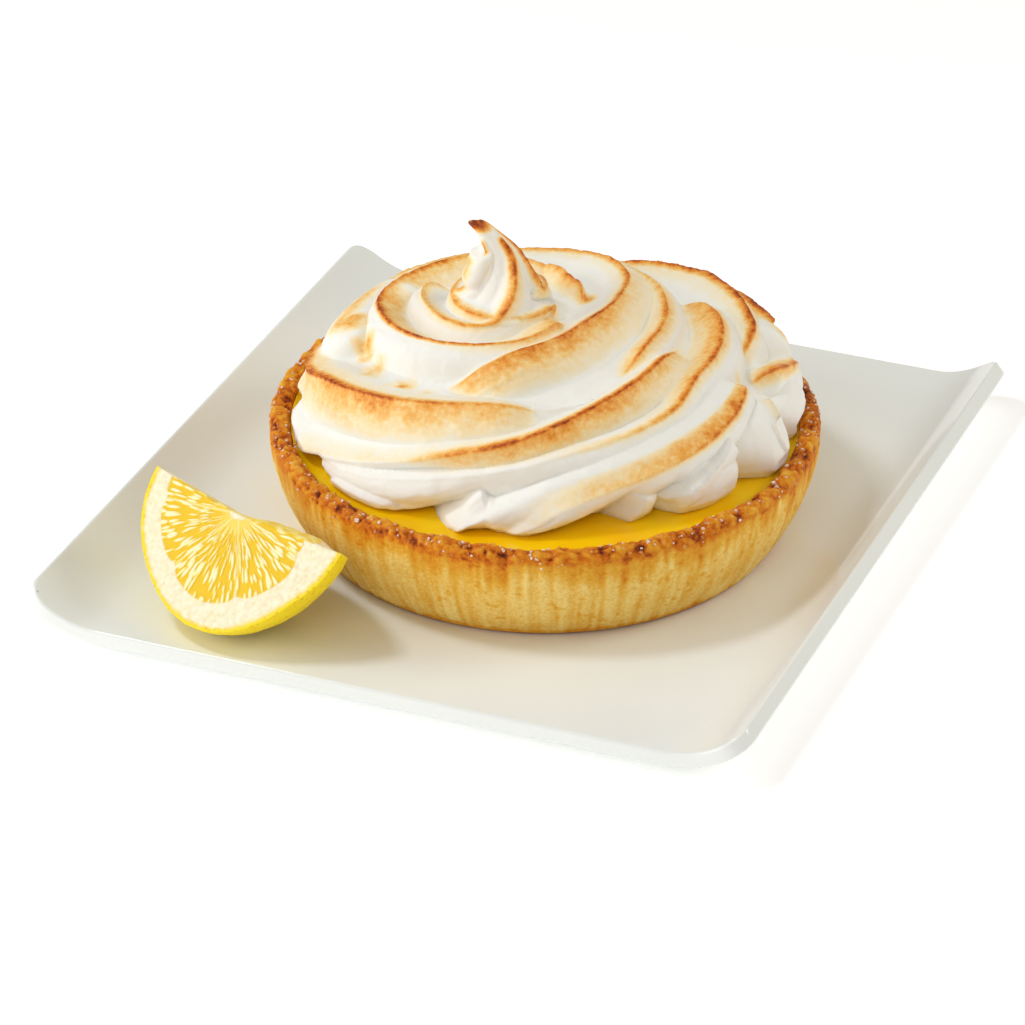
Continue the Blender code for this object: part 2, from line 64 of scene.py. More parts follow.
def scramble(a, b, c):
    # the same whole numbers always give the same fraction, 0 to 1
    h = a * 374761393 + b * 668265263 + c * 362437
    h = (h ^ (h >> 13)) * 1274126177
    h = h ^ (h >> 16)
    return (h & 0xFFFF) / 65535.0


def bumpy(points, size, seed=0):
    # smooth random field, -1 to 1, with bumps about size across
    cell = np.asarray(points, float) / size + 31.7
    base = np.floor(cell).astype(np.int64)
    t = cell - base
    t = t * t * (3 - 2 * t)
    total = np.zeros(base.shape[:-1])
    for i in (0, 1):
        for j in (0, 1):
            for k in (0, 1):
                weight = np.prod(np.where((i, j, k), t, 1 - t), axis=-1)
                value = scramble(base[..., 0] + i, base[..., 1] + j, (base[..., 2] + k) * 977 + seed * 7919)
                total += weight * value
    return total * 2 - 1


def cells(u, v, seed=0):
    # distances to the nearest and the second nearest of scattered points, one to each unit square
    bu = np.floor(u).astype(np.int64)
    bv = np.floor(v).astype(np.int64)
    first = np.full(u.shape, 9.0)
    second = np.full(u.shape, 9.0)
    for i in (-1, 0, 1):
        for j in (-1, 0, 1):
            away = np.hypot(bu + i + scramble(bu + i, bv + j, seed) - u,
                            bv + j + scramble(bu + i, bv + j, seed + 71) - v)
            second = np.minimum(second, np.maximum(first, away))
            first = np.minimum(first, away)
    return first, second


def through(x, xs, ys):
    # smooth curve through the points, with no overshoot
    xs = np.asarray(xs, float)
    ys = np.asarray(ys, float)
    step = np.diff(xs)
    slope = np.diff(ys) / step
    tangent = np.zeros_like(ys)
    both = slope[:-1] * slope[1:] > 0
    early = 2 * step[1:] + step[:-1]
    late = step[1:] + 2 * step[:-1]
    safe = np.where(both, slope[:-1] * slope[1:], 1)
    mean = (early + late) * safe / np.where(both, early * slope[1:] + late * slope[:-1], 1)
    tangent[1:-1] = np.where(both, mean, 0)
    tangent[0] = slope[0]
    tangent[-1] = slope[-1]
    i = np.clip(np.searchsorted(xs, x, side="right") - 1, 0, len(step) - 1)
    t = (np.clip(x, xs[0], xs[-1]) - xs[i]) / step[i]
    leave = t ** 3 - 2 * t ** 2 + t
    arrive = t ** 3 - t ** 2
    share = 3 * t ** 2 - 2 * t ** 3
    bend = leave * step[i] * tangent[i] + arrive * step[i] * tangent[i + 1]
    return (2 * t ** 3 - 3 * t ** 2 + 1) * ys[i] + share * ys[i + 1] + bend


def pointsAt(x, y, z):
    return np.stack(np.broadcast_arrays(x, y, z), -1)


def around(angle, radius, height, axis=(0, 0)):
    # points at an angle and a distance from an upright axis
    return pointsAt(axis[0] + radius * np.cos(angle), axis[1] + radius * np.sin(angle), height)


def turned(profile, columns):
    # a profile of radii and heights, repeated at evenly spaced angles
    angle = np.linspace(0, 2 * math.pi, columns, endpoint=False)
    return angle, profile[:, :1] + 0 * angle, profile[:, 1:] + 0 * angle


def unit(vectors):
    return vectors / (np.linalg.norm(vectors, axis=-1, keepdims=True) + 1e-12)


def spread(values, share):
    # a value that changes along a length, from one number or a few evenly spaced ones
    values = np.atleast_1d(values)
    return np.interp(share, np.linspace(0, 1, len(values)), values)


# Meshes

def closedGrid(rings):
    # rings runs from one end to the other, each ring counter-clockwise seen from the first end
    rows, columns = rings.shape[:2]
    r, c = np.meshgrid(np.arange(rows - 1), np.arange(columns), indexing="ij")
    n = (c + 1) % columns
    quads = np.stack([r * columns + c, (r + 1) * columns + c, (r + 1) * columns + n, r * columns + n], -1)
    faces = quads.reshape(-1, 4).tolist()
    points = rings.reshape(-1, 3)
    ends = np.stack([rings[0].mean(0), rings[-1].mean(0)])
    points = np.vstack([points, ends])
    first = len(points) - 2
    for c in range(columns):
        faces.append([first, c, (c + 1) % columns])
        last = (rows - 1) * columns
        faces.append([first + 1, last + (c + 1) % columns, last + c])
    return points, faces


def addObject(name, data):
    made = bpy.data.objects.new(name, data)
    bpy.context.scene.collection.objects.link(made)
    return made


def addBmesh(name, bm):
    mesh = bpy.data.meshes.new(name)
    bm.to_mesh(mesh)
    bm.free()
    return addObject(name, mesh)


def addPiece(name, points, faces, material, node, slot, fields=None):
    # points are in millimetres; fields are numbers for each point, which materials read
    mesh = bpy.data.meshes.new(name)
    mesh.from_pydata((np.asarray(points) * mm).tolist(), [], faces)
    mesh.update()
    mesh.shade_smooth()
    for field, values in (fields or {}).items():
        made = mesh.attributes.new(field, "FLOAT", "POINT")
        padded = np.zeros(len(points))
        padded[:len(values)] = values
        made.data.foreach_set("value", padded)
    return dress(addObject(name, mesh), material, node)


def dress(piece, material, node):
    piece.data.materials.clear()
    piece.data.materials.append(material)
    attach(piece, "root")
    if node is not None:
        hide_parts(node)
    return piece


# Materials

def srgb(hexColour):
    # turns an sRGB hex colour to the linear values that shaders use
    channels = [int(hexColour[i:i + 2], 16) / 255 for i in (1, 3, 5)]
    return [c / 12.92 if c <= 0.04045 else ((c + 0.055) / 1.055) ** 2.4 for c in channels] + [1]


def setInputs(node, inputs):
    # inputs holds plain values, hex colours, or sockets to link from
    for key, value in inputs.items():
        if isinstance(value, bpy.types.NodeSocket):
            node.id_data.links.new(value, node.inputs[key])
        elif isinstance(value, str):
            node.inputs[key].default_value = srgb(value)
        else:
            node.inputs[key].default_value = value


def addNode(tree, kind, inputs, settings=None, stops=None):
    # stops are a colour ramp's places and colours
    made = tree.nodes.new("ShaderNode" + kind)
    for key, value in (settings or {}).items():
        setattr(made, key, value)
    setInputs(made, inputs)
    if stops:
        ramp = made.color_ramp
        for _ in range(len(stops) - 2):
            ramp.elements.new(0.5)
        for element, (place, colour) in zip(ramp.elements, stops):
            element.position = place
            element.color = srgb(colour)
    return made


def newMaterial(name):
    made = bpy.data.materials.new(name)
    made.use_nodes = True
    made.node_tree.nodes.clear()
    add = partial(addNode, made.node_tree)
    shader = add("BsdfPrincipled", {})
    add("OutputMaterial", {"Surface": shader.outputs[0]})
    return made, add, shader, add("TexCoord", {}).outputs["Object"]


def perMm(size):
    # texture scale for features of that many millimetres, as coordinates are in metres
    return 1 / (size * mm)


# Plate: glazed porcelain, slip cast, so its edges are soft

plateLook = {
    "width": 175, "depth": 188, "skew": 2, "floor": 6, "wall": 3.9, "edgeRound": 1.5,
    "curlHeight": 7.8, "curlWidth": 16.5, "curlPower": 1.9, "cornerRadius": 5,
    "footWidth": 136, "footDepth": 181, "footHeight": 3, "footBand": 7, "footCorner": 8,
    "glaze": "#F4F8F3", "glazeThin": "#EFF4F0", "poolSize": 60, "rippleSize": 3, "roughness": 0.1,
    "gridLines": 64, "crowding": 1.4,
}


def glazedPorcelain():
    look = plateLook
    made, add, shader, place = newMaterial("glazedPorcelain")
    # hard, glassy and white; the glaze pools thicker in slow patches
    pools = add("TexNoise", {"Vector": place, "Scale": perMm(look["poolSize"]), "Detail": 2})
    tint = add("ValToRGB", {"Fac": pools.outputs[0]},
               stops=[(0.35, look["glazeThin"]), (0.65, look["glaze"])])
    # orange-peel ripple of a fired glaze
    ripple = add("TexNoise", {"Vector": place, "Scale": perMm(look["rippleSize"]), "Detail": 1})
    bump = add("Bump", {"Height": ripple.outputs[0], "Strength": 0.06, "Distance": 0.1 * mm})
    setInputs(shader, {"Base Color": tint.outputs[0], "Roughness": look["roughness"], "IOR": 1.5,
                       "Normal": bump.outputs[0]})
    return made


def roundedSquare(a, b, corner):
    # moves a point of the square -1..1 so that each ring of it has round corners
    ring = max(abs(a), abs(b))
    if ring == 0:
        return 0.0, 0.0
    radius = corner * ring
    p = (abs(a) - (ring - radius)) / radius
    q = (abs(b) - (ring - radius)) / radius
    if p <= 0 or q <= 0:
        return a, b
    turn = math.pi / 4 * q if p >= q else math.pi / 2 - math.pi / 4 * p
    x = ring - radius + radius * math.cos(turn)
    y = ring - radius + radius * math.sin(turn)
    return math.copysign(x, a), math.copysign(y, b)


def platePoint(a, b):
    look = plateLook
    x, y = roundedSquare(a, b, 2 * look["cornerRadius"] / look["width"])
    x *= look["width"] / 2
    y *= look["depth"] / 2
    into = max(0.0, abs(x) - (look["width"] / 2 - look["curlWidth"])) / look["curlWidth"]
    lean = y * math.tan(math.radians(look["skew"]))
    return Vector((x + lean, y, look["floor"] + look["curlHeight"] * into ** look["curlPower"])) * mm


def plateFoot(recess):
    # the recess is taller than the foot, so it cuts right through
    look = plateLook
    bm = bmesh.new()
    bmesh.ops.create_cube(bm, size=1)
    shrink = 2 * look["footBand"] if recess else 0
    height = look["footHeight"] * (1.5 if recess else 1)
    size = Vector((look["footWidth"] - shrink, look["footDepth"] - shrink, height))
    bmesh.ops.scale(bm, vec=size * mm, verts=bm.verts)
    corners = [e for e in bm.edges if abs(e.verts[0].co.z - e.verts[1].co.z) > mm]
    bmesh.ops.bevel(bm, geom=corners, offset=look["footCorner"] * mm, segments=16, profile=0.5,
                    affect="EDGES")
    foot = addBmesh("foot", bm)
    foot.location.z = look["footHeight"] / 2 * mm
    return foot


def makePlate():
    look = plateLook
    bm = bmesh.new()
    count = look["gridLines"]
    bmesh.ops.create_grid(bm, x_segments=count, y_segments=count, size=1)
    for v in bm.verts:
        # lines crowd towards the curled edges
        a, b = (math.copysign(1 - (1 - abs(c)) ** look["crowding"], c) for c in v.co.xy)
        v.co = platePoint(a, b)
    plate = addBmesh("platePorcelain", bm)
    shell = plate.modifiers.new("wall", "SOLIDIFY")
    shell.thickness = look["wall"] * mm
    shell.offset = -1
    edge = plate.modifiers.new("softEdge", "BEVEL")
    edge.width = look["edgeRound"] * mm
    edge.segments = 5
    edge.limit_method = "ANGLE"
    edge.angle_limit = math.radians(50)
    foot = plateFoot(False)
    recess = plateFoot(True)
    for target, operation, cutter in ((foot, "DIFFERENCE", recess), (plate, "UNION", foot)):
        cut = target.modifiers.new("cut", "BOOLEAN")
        cut.operation = operation
        cut.solver = "MANIFOLD"
        cut.object = cutter
    graph = bpy.context.evaluated_depsgraph_get()
    applied = bpy.data.meshes.new_from_object(plate.evaluated_get(graph))
    plate.modifiers.clear()
    plate.data = applied
    for cutter in (foot, recess):
        bpy.data.objects.remove(cutter)
    plate.data.shade_smooth()
    plate.data.set_sharp_from_angle(angle=math.radians(50))
    return dress(plate, glazedPorcelain(), "plate")


makePlate()
print("plate made")


# Tart case: shortcrust pastry pressed into a plain ring, so its wall shows nothing but the drag of the
# ring, and its cut rim is rough and takes the most colour in the oven

caseBox = boxMm("tart_case")
tartAxis = (caseBox[0][:2] + caseBox[1][:2]) / 2

caseLook = {
    "rimRadius": 66, "baseRadius": 57, "height": 26.7, "wall": 5, "floor": 4, "wallBelly": 2.2,
    "rimWave": 0.45, "bottom": caseBox[0][2], "columns": 900,
    "rimBand": 4, "rimLumps": 0.8, "dragRibs": 0.34, "dragRadius": 62, "dragStretch": 14,
    "crumb": 0.08, "pits": 0.4, "grainSize": 0.8, "patchSize": 6, "roughness": 0.62, "shine": 0.2,
    "colours": ("#FADC84", "#EDB640", "#E29922", "#D3720A", "#9E4405", "#571F03"),
}
caseTop = caseLook["bottom"] + caseLook["height"]


def bakedShortcrust():
    # flour and butter baked dry: matt, sandy, pale where it leant on the ring, brown where it met the air;
    # its colour field also holds painted shade in the dips and pits
    look = caseLook
    made, add, shader, place = newMaterial("bakedShortcrust")
    # browning together with painted shade in the dips, grooves and pits
    bake = add("Attribute", {}, {"attribute_name": "bake"})
    # sandy grain and larger uneven patches
    grain = add("TexNoise", {"Vector": place, "Scale": perMm(look["grainSize"]), "Detail": 4,
                             "Roughness": 0.7})
    patches = add("TexNoise", {"Vector": place, "Scale": perMm(look["patchSize"]), "Detail": 3})
    fine = add("MapRange", {"Value": grain.outputs[0], "From Min": 0.3, "From Max": 0.7,
                            "To Min": -0.13, "To Max": 0.13})
    wide = add("MapRange", {"Value": patches.outputs[0], "From Min": 0.3, "From Max": 0.7,
                            "To Min": -0.05, "To Max": 0.05})
    both = add("Math", {0: fine.outputs[0], 1: wide.outputs[0]}, {"operation": "ADD"})
    tone = add("Math", {0: bake.outputs["Fac"], 1: both.outputs[0]}, {"operation": "ADD"})
    tint = add("ValToRGB", {"Fac": tone.outputs[0]},
               stops=list(zip((0.02, 0.26, 0.48, 0.68, 0.86, 1), look["colours"])))
    bump = add("Bump", {"Height": grain.outputs[0], "Strength": 0.5, "Distance": 0.3 * mm})
    setInputs(shader, {"Base Color": tint.outputs[0], "Roughness": look["roughness"],
                       "Specular IOR Level": look["shine"], "Normal": bump.outputs[0]})
    return made


def wallRadius(z):
    look = caseLook
    share = np.clip((z - look["bottom"]) / look["height"], 0, 1)
    flare = look["rimRadius"] - look["baseRadius"]
    return look["baseRadius"] + flare * (1 - (1 - share) ** look["wallBelly"])


def rimWave(angle):
    waves = ((7, 0.3, 0.5), (13, 1.9, 0.3), (29, 4.1, 0.35), (43, 0.7, 0.25))
    return sum(size * np.sin(n * angle + shift) for n, shift, size in waves)


def caseProfile():
    # radius and height down the case, from the middle of its inner floor to the middle of its underside
    look = caseLook
    lip = look["wall"] / 2
    low = look["bottom"] + look["floor"]
    high = caseTop - lip
    middle = wallRadius(high) - lip
    floorPart = [(r, low) for r in np.linspace(1, wallRadius(low) - look["wall"] - 1, 8)]
    inner = [(wallRadius(z) - look["wall"], z) for z in np.linspace(low, high, 26)]
    turns = np.radians(np.linspace(174, 6, 29))
    rim = [(middle + lip * math.cos(t), high + lip * math.sin(t)) for t in turns]
    outer = [(wallRadius(z), z) for z in np.linspace(high, look["bottom"] + 1.3, 80)]
    base = look["baseRadius"]
    edge = wallRadius(look["bottom"] + 1.3)
    foot = [(base - 1 + (edge - base + 1) * math.sin(t), look["bottom"] + 1.3 - 1.3 * math.cos(t))
            for t in np.radians(np.linspace(80, 0, 8))]
    under = [(r, look["bottom"]) for r in np.linspace(base - 3, 1, 6)]
    return np.array(floorPart + inner + rim + outer + foot + under)


def makeCase():
    look = caseLook
    profile = caseProfile()
    ahead = unit(np.gradient(profile, axis=0))
    outwards = np.stack([-ahead[:, 1], ahead[:, 0]], -1)
    angle, radius, height = turned(profile, look["columns"])
    across = around(angle, radius, height)
    # the ring's drag marks run up the wall, so their field is stretched upwards
    drawn = around(angle, look["dragRadius"], height / look["dragStretch"])
    nearRim = smoothStep((height - (caseTop - look["rimBand"])) / look["rimBand"])
    above = smoothStep((height - look["bottom"] - 0.2) / 1.5)
    lumps = 0.45 * bumpy(across, 3.4, 1) + 0.5 * bumpy(across, 1.6, 2) + 0.5 * bumpy(across, 0.85, 3)
    ribs = 0.6 * bumpy(drawn, 1.6, 4) + 0.5 * bumpy(drawn, 0.85, 5)
    crumb = 0.6 * bumpy(across, 1.3, 6) + 0.4 * bumpy(across, 0.7, 7)
    holes = smoothStep((bumpy(across, 1.5, 8) - 0.52) / 0.2)
    lift = nearRim * look["rimLumps"] * lumps
    lift += (1 - nearRim) * above * (look["dragRibs"] * ribs + look["crumb"] * crumb)
    lift -= above * look["pits"] * holes * (0.25 + 0.75 * nearRim)
    radius = radius + outwards[:, :1] * lift
    height = height + outwards[:, 1:] * lift + look["rimWave"] * nearRim * rimWave(angle)
    rings = around(angle, radius, height, tartAxis)
    # browning: all of the rim, ragged streaks down from it, a thin line at the foot; painted shade darkens
    # the dips between rim lumps and between drag ribs, and the pits, and raised ribs are painted lighter
    ragged = 2.2 * bumpy(drawn, 5, 9) + 2.2 * bumpy(drawn, 1.6, 10)
    depth = caseTop - height
    rimTone = 0.5 * smoothStep((5.2 + 0.5 * ragged - depth) / 3.2)
    streaks = 0.28 * smoothStep((9.5 + 1.6 * ragged - depth) / 6)
    footTone = 0.3 * smoothStep((look["bottom"] + 2.2 + 0.3 * ragged - height) / 1.6)
    # painted shade: darker where the lumps and ribs dip and in the pits, lighter on the raised ribs
    hollowShade = -0.45 * lumps * nearRim - 0.2 * ribs * (1 - nearRim)
    bake = 0.16 + np.maximum(rimTone, streaks) + footTone + hollowShade + 0.16 * holes
    inside = (profile[:, 0] < wallRadius(profile[:, 1]) - look["wall"] * 0.8)[:, None]
    bake = np.where(inside & (height > look["bottom"] + 5), np.maximum(bake, 0.62), bake)
    return addPiece("tartCaseShortcrust", *closedGrid(rings), bakedShortcrust(), "tart_case", "shortcrust",
                    {"bake": bake.ravel()})


makeCase()
print("tart case made")


def onRim(angle, turn, out=0.0):
    # a point on the rim's round lip; turn is 0 at the outside, 90 on top and 180 inside
    lip = caseLook["wall"] / 2
    high = caseTop - lip
    middle = wallRadius(high) - lip
    radius = middle + (lip + out) * np.cos(turn)
    height = high + (lip + out) * np.sin(turn) + caseLook["rimWave"] * rimWave(angle)
    return around(angle, radius, height, tartAxis)


def scatterGrains(name, places, sizes, squareness, seed, material, slot):
    # one small faceted grain at each place, all in one mesh
    rng = np.random.default_rng(seed)
    bm = bmesh.new()
    bmesh.ops.create_icosphere(bm, subdivisions=1, radius=0.5)
    ball = np.array([v.co for v in bm.verts])
    corners = [[v.index for v in f.verts] for f in bm.faces]
    bm.free()
    points = []
    faces = []
    for place, size in zip(places, sizes):
        shape = np.sign(ball) * np.abs(ball) ** squareness * 0.5 ** (1 - squareness)
        shape = shape * rng.uniform(0.7, 1.2, 3) * (1 + rng.uniform(-0.15, 0.15, (len(ball), 1)))
        turn = Matrix.Rotation(rng.uniform(0, 6.28), 3, Vector(rng.normal(size=3)).normalized())
        faces += [[i + len(points) * len(ball) for i in f] for f in corners]
        points.append(shape @ np.array(turn).T * size + place)
    piece = addPiece(name, np.concatenate(points), faces, material, None, slot)
    piece.data.shade_flat()
    return piece


sugarLook = {
    "name": "rimSugar", "count": 300, "sizes": (0.3, 0.45, 0.95), "turn": 78, "spread": 40, "inner": -15,
    "out": 0.1, "squareness": 0.45, "seed": 12, "clear": "#E9BE94", "milky": "#FFF1E4",
}
crumbLook = {
    "name": "rimCrumbs", "count": 420, "sizes": (0.4, 0.6, 1.3), "turn": 70, "spread": 45, "inner": -25,
    "out": -0.25, "squareness": 0.6, "seed": 13, "dark": "#AE5712", "light": "#E8A656",
}


def coarseSugar():
    # crystals about half a millimetre wide: clear to milky, with bright facets
    made, add, shader, place = newMaterial("coarseSugar")
    milk = add("TexNoise", {"Vector": place, "Scale": perMm(2)})
    tint = add("ValToRGB", {"Fac": milk.outputs[0]},
               stops=[(0.3, sugarLook["clear"]), (0.6, sugarLook["milky"])])
    setInputs(shader, {"Base Color": tint.outputs[0], "Roughness": 0.18, "IOR": 1.54,
                       "Transmission Weight": 0.15})
    return made


def toastedCrumb():
    # flakes of shortcrust that broke off the rim: matt, and baked darker than the wall
    made, add, shader, place = newMaterial("toastedCrumb")
    mix = add("TexNoise", {"Vector": place, "Scale": perMm(1.5), "Detail": 2})
    tint = add("ValToRGB", {"Fac": mix.outputs[0]},
               stops=[(0.35, crumbLook["dark"]), (0.65, crumbLook["light"])])
    setInputs(shader, {"Base Color": tint.outputs[0], "Roughness": 0.6})
    return made


def makeRimGrains():
    rng = np.random.default_rng(11)
    for look, material in ((sugarLook, coarseSugar()), (crumbLook, toastedCrumb())):
        count = look["count"]
        angle = rng.uniform(0, 2 * math.pi, count)
        turn = np.radians(rng.normal(look["turn"], look["spread"], count).clip(look["inner"], 165))
        size = rng.triangular(*look["sizes"], count)
        places = onRim(angle, turn, look["out"])
        scatterGrains(look["name"], places, size, look["squareness"], look["seed"], material, "shortcrust")


makeRimGrains()
print("rim grains made")


# Lemon curd: egg, lemon and butter set under its own skin, so it is smooth, glossy and a little clear

curdBox = boxMm("lemon_curd")
curdTop = curdBox[1][2]

curdLook = {
    "colour": "#FFD20A", "deep": "#FFC400", "meniscus": 0.6, "columns": 300,
    "roughness": 0.07, "low": curdBox[0][2], "cloudSize": 14, "rippleSize": 9,
}


def setLemonCurd():
    look = curdLook
    made, add, shader, place = newMaterial("setLemonCurd")
    # a skin that mirrors the lamps over a deep yellow, which clouds a little where it set thicker
    clouds = add("TexNoise", {"Vector": place, "Scale": perMm(look["cloudSize"]), "Detail": 2})
    tint = add("ValToRGB", {"Fac": clouds.outputs[0]}, stops=[(0.35, look["deep"]), (0.65, look["colour"])])
    ripple = add("TexNoise", {"Vector": place, "Scale": perMm(look["rippleSize"]), "Detail": 1})
    bump = add("Bump", {"Height": ripple.outputs[0], "Strength": 0.2, "Distance": 0.6 * mm})
    setInputs(shader, {"Base Color": tint.outputs[0], "Roughness": look["roughness"], "IOR": 1.35,
                       "Subsurface Weight": 0.12, "Subsurface Radius": (1.0, 0.6, 0.05),
                       "Subsurface Scale": 5 * mm, "Normal": bump.outputs[0]})
    return made


def makeCurd():
    look = curdLook
    edge = wallRadius(curdTop) - caseLook["wall"]
    dip = look["meniscus"]
    rise = np.linspace(0, 1, 12)
    top = [(r, curdTop - dip) for r in np.linspace(1, edge - 4, 14)]
    top += [(edge - 4 + 3.9 * t, curdTop - dip + 1.6 * dip * t ** 4) for t in rise[1:]]
    side = [(wallRadius(z) - caseLook["wall"] - 0.1, z)
            for z in np.linspace(curdTop - 0.2, look["low"], 14)]
    base = [(r, look["low"]) for r in np.linspace(wallRadius(look["low"]) - caseLook["wall"] - 2, 1, 5)]
    profile = np.array(top + side + base)
    angle, radius, height = turned(profile, look["columns"])
    waves = 0.22 * bumpy(around(angle, radius, 0), 13, 21)
    height = height + np.where(height > curdTop - 1, waves, 0)
    rings = around(angle, radius, height, tartAxis)
    return addPiece("curdGloss", *closedGrid(rings), setLemonCurd(), "lemon_curd", "curd")


makeCurd()
print("curd made")


# Meringue: beaten egg white and sugar, piped through a star nozzle in one spiral and torched

meringueLook = {
    "spreadAzimuth": 20.9,
    # ovals round the swirl, from the hooked tip (0) down to the curd (1), in millimetres
    "level": (0, 0.015, 0.04, 0.10, 0.16, 0.22, 0.32, 0.48, 0.64, 0.80, 0.92, 0.97, 1.0),
    "long": (0.4, 1.7, 2.3, 4.3, 8.2, 13.0, 20, 31, 42.5, 52, 56.3, 56.4, 55),
    "short": (0.4, 1.6, 2.3, 4.2, 8.0, 12.0, 17.5, 27, 37, 45, 48.8, 48.9, 47.5),
    "height": (51.3, 50.6, 47.6, 41.5, 33.5, 28, 25.3, 23.6, 20.3, 14.3, 5, 1.6, 0),
    "along": (-17.6, -16.4, -13.6, -10.6, -10.2, -10.2, -9.5, -6, -2, 0.8, 1.5, 1.5, 1.5),
    "across": (6, 6.2, 6.5, 7, 7, 6.6, 5.8, 4, 2.4, 1.2, 0.8, 0.8, 0.8),
    "columns": 660, "rows": 290, "lean": 0.3, "fin": 0.6, "finWidth": 0.8, "sink": 1.5, "blend": 0.45,
    "skirtFrom": 0.84, "skirtTo": 0.96, "skirtSlant": 110,
    # surface unevenness: height and width of the waves
    "uneven": ((0.13, 2.3), (0.07, 1.0), (0.03, 0.6)), "blister": 0.22, "dragLines": 0.12, "lineWidth": 1.3,
    "foam": "#F6F6EE", "grainSize": 1.4, "bubbleSize": 1.7, "foamSize": 0.9,
    "toast": ("#FDEDC8", "#FBD287", "#F3AE4B", "#DF8325", "#C25C11", "#86380A"),
}

# Lower edge: how far it stands out, as a share of the lowest oval, at azimuths in degrees. Each low
# value is the cleft between two lobes
skirt = (
    (6, 0.97), (10, 1.01), (16, 1.02), (24, 1.03), (30, 1.03), (34, 1.0), (39, 1.04), (48, 1.05),
    (54, 1.01), (60, 1.06), (75, 1.1), (84, 1.08), (90, 1.02), (97, 1.09), (110, 1.13), (120, 1.1),
    (127, 1.04), (134, 1.09), (148, 1.12), (158, 1.08), (165, 1.02), (172, 1.07), (184, 1.09),
    (190, 1.03), (197, 1.06), (203, 1.09), (209, 1.09), (214, 1.07), (217.5, 1.02), (223, 1.05),
    (230, 1.08), (242, 1.1), (248, 1.105), (252, 1.09), (255, 1.06), (259.2, 0.96), (263.8, 1.05),
    (268, 1.12), (271.4, 1.07), (275.3, 1.04), (283, 1.06), (288.5, 1.03), (293, 0.98), (298, 0.92),
    (301.5, 0.88), (304, 0.93), (307.3, 0.99), (311, 0.98), (314, 0.965), (317, 0.94), (321, 1.0),
    (330, 1.0), (338, 0.99), (340, 0.96), (343, 0.9), (346, 0.95), (350, 1.01), (357, 1.02),
    (361.5, 0.99),
)

